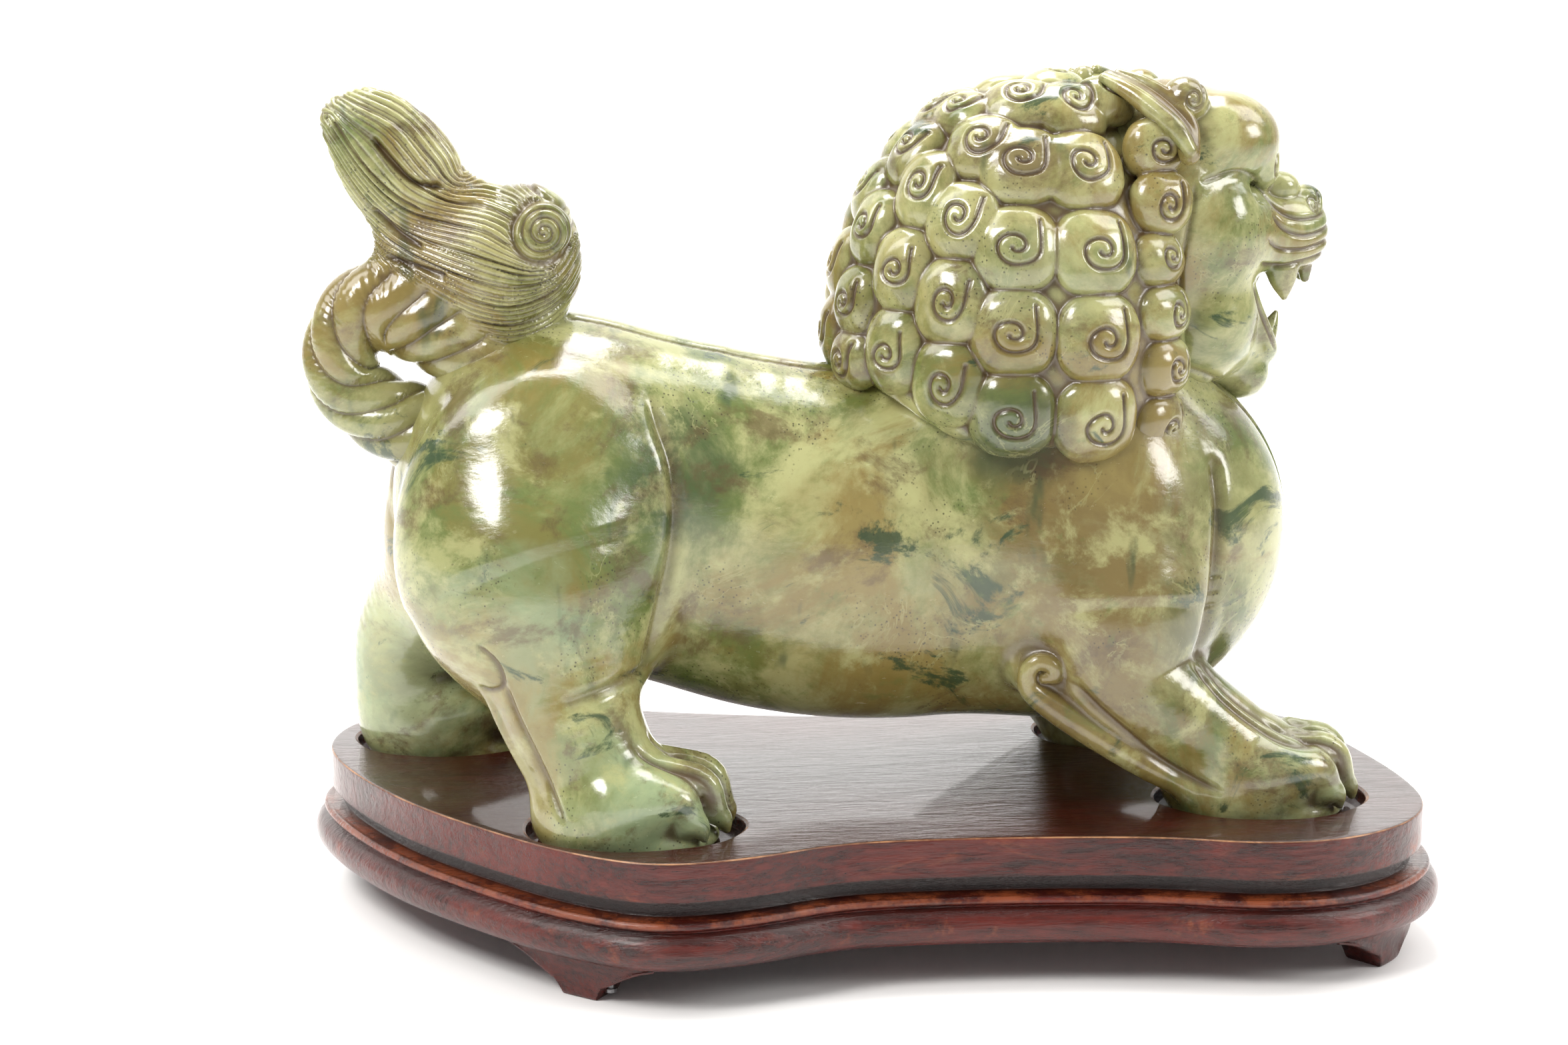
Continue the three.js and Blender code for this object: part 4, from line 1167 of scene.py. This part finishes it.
def jadePaint():
    paint = Paint("mottled_jade")
    spot = paint.place()
    cloud = paint.noise(spot, 26, 8, 0.68, 0.5)
    base = paint.mixed(cloud.between(0.42, 0.60), jadeLook["celadon"], jadeLook["sage"])
    tan = paint.noise(paint.place((1, 1, 1), (0.4, 0.2, 0.1)), 23, 8, 0.68, 0.8)
    base = paint.mixed(tan.between(0.46, 0.60) * 0.8, base, jadeLook["olive"])
    ragged = paint.noise(paint.place((1, 1, 1), (1.3, 0.4, 0.9)), 55, 5, 0.6, 0.3)
    for middle, reach, share, colour in jadeLook["patches"]:
        away = paint.node("ShaderNodeVectorMath", {"operation": "DISTANCE"}, {0: spot, 1: middle}, 1)
        near = 1 - (away / reach + (ragged - 0.5) * 2.2).between(0.35, 1.1)
        base = paint.mixed(near * share, base, jadeLook[colour])
    murk = paint.noise(paint.place((1.2, 1, 1.4), (0.9, 0.1, 0.7)), 42, 8, 0.70, 0.4)
    base = paint.mixed(murk.between(0.51, 0.65) * 0.68, base, jadeLook["brown"])
    pale = paint.noise(paint.place((1, 1, 1), (0.1, 0.7, 1.2)), 48, 8, 0.68, 0.3)
    base = paint.mixed(pale.between(0.53, 0.66) * 0.7, base, jadeLook["celadon"])
    # dark green blots, some drawn out into slanting streaks
    blot = paint.noise(paint.place((1, 1, 1.6), (0.2, 1.1, 0.5)), 34, 7, 0.68, 0.9)
    base = paint.mixed(blot.between(0.59, 0.66) * 0.85, base, jadeLook["deep"])
    dapple = paint.noise(paint.place((1, 1, 1.2), (0.7, 0.2, 1.4)), 95, 6, 0.66, 0.5)
    base = paint.mixed(dapple.between(0.58, 0.70) * 0.5, base, jadeLook["sage"])
    streak = paint.noise(paint.place((2.6, 1, 0.8), (0, 0.8, 0.3)), 44, 3, 0.55, 0.2)
    base = paint.mixed(streak.between(0.62, 0.74) * 0.65, base, jadeLook["deep"])
    # pepper, gathered in a few places
    gather = paint.noise(spot, 45, 2, 0.5).between(0.50, 0.62)
    pepper = paint.node("ShaderNodeTexVoronoi", {"feature": "F1"}, {"Vector": spot, "Scale": 900}, 0)
    base = paint.mixed((1 - pepper.between(0.12, 0.26)) * gather * 0.75, base, jadeLook["speck"])
    fleck = paint.noise(spot, 520, 4, 0.7)
    base = paint.mixed(fleck.between(0.62, 0.74) * 0.35, base, jadeLook["brown"])
    vein = paint.noise(paint.place((1, 1, 1), (0.5, 0.9, 0.2)), 48, 5, 0.6, 1.2)
    line = 1 - ((vein - 0.5) * (vein - 0.5) * 6000).between(0.0, 1.0)
    base = paint.mixed(line * gather * 0.35, base, jadeLook["celadon"])
    # the vertex mask: brown patina settled in grooves and hollows, plus painted shade inside the mouth
    grimeAndShade = paint.mask("grimeAndShade")
    darkening = (grimeAndShade * (0.75 + fleck * 0.5)).least(0.93)
    base = paint.mixed(darkening, base, jadeLook["grimeAndShade"])
    fine = paint.noise(spot, 1100, 3, 0.6)
    wave = paint.noise(spot, 95, 3, 0.5)
    scuff = paint.noise(paint.place((1, 6, 2), (0.3, 0.5, 0.2)), 260, 3, 0.6)
    rough = 0.10 + fine * 0.10 + grimeAndShade * 0.22 + wave * 0.06 + scuff.between(0.6, 0.75) * 0.12
    chatter = paint.noise(paint.place((1, 1, 3), (0.2, 0.1, 0.6)), 210, 4, 0.6)
    height = wave * 1.3 + scuff * 0.10 + fine * 0.10 + chatter * 0.30
    bump = paint.node("ShaderNodeBump", {}, {"Strength": 0.30, "Distance": 0.0006, "Height": height})
    return paint.finish(Base_Color=base, Roughness=rough, Normal=bump, Subsurface_Weight=0.08,
                        Subsurface_Radius=(0.004, 0.005, 0.002), Subsurface_Scale=0.5, Coat_Weight=0.1,
                        Coat_Roughness=0.12, IOR=1.66)


lacquerLook = {
    "dark": (0.018, 0.003, 0.002),
    "red": (0.10, 0.011, 0.006),
    "orange": (0.27, 0.065, 0.020),
    "worn": (0.40, 0.20, 0.09),
    # near black of the wood's pores, also used for the painted shade under the board
    "poreBlackAndShade": (0.008, 0.004, 0.003),
}


def lacquerPaint():
    paint = Paint("red_brown_lacquer")
    spot = paint.place()
    normal = paint.node("ShaderNodeNewGeometry", output="Normal")
    rise = paint.node("ShaderNodeSeparateXYZ", {}, {"Vector": normal}, 2)
    height = paint.node("ShaderNodeSeparateXYZ", {}, {"Vector": spot}, 2)
    grain = paint.noise(paint.place((1, 9, 9)), 75, 6, 0.62, 0.3)
    cloud = paint.noise(paint.place((1, 2, 2)), 20, 5, 0.6, 0.4)
    thin = (grain * 0.6 + cloud * 0.7).between(0.48, 0.82)
    base = paint.mixed(thin, lacquerLook["dark"], lacquerLook["red"])
    pore = paint.noise(paint.place((1, 16, 16)), 160, 3, 0.6)
    base = paint.mixed(pore.between(0.60, 0.72) * 0.6, base, lacquerLook["poreBlackAndShade"])
    # thin places where the red wears to orange, more on the sides than on top
    side = 1 - rise.between(0.4, 0.9)
    patch = paint.noise(paint.place((0.7, 1.5, 2.6)), 42, 6, 0.66, 0.5)
    base = paint.mixed(patch.between(0.60, 0.76) * side * 0.6, base, lacquerLook["orange"])
    # upward faces are mixed towards the dark red-brown, so tops read darker than the sides
    base = paint.mixed((1 - side) * 0.7, base, lacquerLook["dark"])
    # rubbed edges: where the board turns from top to side
    edge = rise.between(0.25, 0.6) * (1 - rise.between(0.80, 0.98))
    top = height.between((deckTop - 1.2) * mm, (deckTop - 0.3) * mm)
    rubbed = paint.noise(spot, 70, 5, 0.7)
    base = paint.mixed(edge * top * (0.25 + rubbed.between(0.42, 0.62) * 0.65), base, lacquerLook["worn"])
    crest = 1 - (height - (footTop + 5.0) * mm).sum("ABSOLUTE").between(0.0008, 0.0032)
    crest = crest * (1 - rise.between(0.5, 0.8))
    base = paint.mixed(crest * rubbed.between(0.56, 0.70) * 0.5, base, lacquerLook["orange"])
    bead = 1 - (height - (bedTop - 4.3) * mm).sum("ABSOLUTE").between(0.0003, 0.0012)
    base = paint.mixed(bead * rubbed.between(0.40, 0.6) * 0.6, base, lacquerLook["orange"])
    # painted shade: the recess under the board's overhanging edge and the groove below it are darkened to
    # near black
    darkening = height.between((bedTop - 4.0) * mm, (bedTop - 3.2) * mm)
    darkening = darkening * (1 - height.between(bedTop * mm, (bedTop + 0.6) * mm))
    base = paint.mixed(darkening * 0.85, base, lacquerLook["poreBlackAndShade"])
    scratch = paint.noise(paint.place((1, 22, 22)), 130, 4, 0.65)
    ripple = paint.noise(paint.place((1, 5, 5)), 150, 3, 0.6, 0.4)
    orange = paint.noise(spot, 420, 2, 0.5)
    brushed = paint.noise(paint.place((1, 3, 3)), 60, 3, 0.6, 0.6)
    bumpHeight = scratch * 0.5 + ripple * 0.8 + orange * 0.15 + grain * 0.4 + brushed * 1.6
    bump = paint.node("ShaderNodeBump", {}, {"Strength": 0.7, "Distance": 0.0005, "Height": bumpHeight})
    rough = 0.08 + scratch * 0.10 + patch.between(0.5, 0.75) * 0.12
    return paint.finish(Base_Color=base, Roughness=rough, Normal=bump, Specular_IOR_Level=0.42,
                        Coat_Weight=0.15 + rise.between(0.90, 0.99) * 0.3, Coat_Roughness=0.07)


def plainPaint(name, colour, metal, roughness, scale):
    # steel and bare wood of the hidden fasteners
    paint = Paint(name)
    streak = paint.noise(paint.place((1, 1, 8)), scale, 4, 0.6)
    darker = tuple(c * 0.6 for c in colour)
    base = paint.mixed(streak.between(0.35, 0.7), colour, darker)
    return paint.finish(Base_Color=base, Metallic=metal, Roughness=roughness + streak * 0.15)


# lights, floor and camera

def setScene():
    floorMaterial = Paint("studio_white")
    floorMaterial.finish(Base_Color=(0.9, 0.9, 0.9), Roughness=0.6)
    line = [(-3.0, 0.0), (0.8, 0.0)]
    line += [(0.8 + 0.6 * math.sin(a), 0.6 - 0.6 * math.cos(a)) for a in np.radians(np.arange(7.5, 91, 7.5))]
    line += [(1.4, 3.0)]
    points = [(x, y, z) for y, z in line for x in (-4.0, 4.0)]
    faces = [(2 * k, 2 * k + 1, 2 * k + 3, 2 * k + 2) for k in range(len(line) - 1)]
    sweep = bpy.data.meshes.new("sweep")
    sweep.from_pydata(points, [], faces)
    sweep.polygons.foreach_set("use_smooth", [True] * len(faces))
    sweep.materials.append(floorMaterial.material)
    floor = bpy.data.objects.new("floor", sweep)
    bpy.context.scene.collection.objects.link(floor)
    for name, place, size, power, aim in (
        ("key", (-0.70, -0.60, 1.00), 0.42, 12, (0, 0, 0.1)),
        ("side", (0.95, -0.45, 0.60), 0.40, 6, (0, 0, 0.08)),
        ("top", (0.0, 0.35, 1.0), 0.50, 10, (0, 0, 0.08)),
        ("backdropLeft", (-1.0, 0.2, 1.4), 1.2, 24, (-0.4, 1.4, 0.6)),
        ("backdropRight", (1.0, 0.2, 1.4), 1.2, 24, (0.4, 1.4, 0.6)),
    ):
        lamp = bpy.data.lights.new(name, "AREA")
        lamp.size = size
        lamp.energy = power
        lamp.color = (1, 0.98, 0.95)
        holder = bpy.data.objects.new(name, lamp)
        holder.location = place
        holder.rotation_euler = (Vector(aim) - Vector(place)).to_track_quat("-Z", "Y").to_euler()
        bpy.context.scene.collection.objects.link(holder)
    world = bpy.data.worlds.new("studio")
    world.use_nodes = True
    world.node_tree.nodes["Background"].inputs["Color"].default_value = (1, 1, 1, 1)
    world.node_tree.nodes["Background"].inputs["Strength"].default_value = 0.36
    bpy.context.scene.world = world
    bpy.context.scene.view_settings.view_transform = "Standard"
    lens = bpy.data.cameras.new("camera")
    lens.sensor_width = 36
    lens.lens = 70.4
    lens.clip_start = 0.01
    camera = bpy.data.objects.new("camera", lens)
    camera.location = (-0.0805, -0.6741, 0.2398)
    camera.rotation_euler = (math.radians(90 - 12.3), 0, math.radians(-5.3))
    bpy.context.scene.collection.objects.link(camera)
    bpy.context.scene.camera = camera


setScene()
jade = jadePaint()
lacquer = lacquerPaint()
print("materials ready")
makePanel(lacquer)
makeMoulding(lacquer)
for footName in ("foot_front_left", "foot_front_right", "foot_back_left", "foot_back_right"):
    makeFoot(footName, lacquer)
steel = plainPaint("brad_wire", (0.45, 0.45, 0.46), 1.0, 0.35, 300)
beech = plainPaint("dowel_beech", (0.6, 0.45, 0.28), 0.0, 0.6, 200)
for nodeName, node in frame["nodes"].items():
    if nodeName.startswith(("brad", "dowel")):
        for slot in node.material_slots:
            slot.material = steel if nodeName.startswith("brad") else beech
print("stand ready")
makeBody(jade)
makeMane(jade)
makeHead(jade)
makeTail(jade)
print("lion ready")
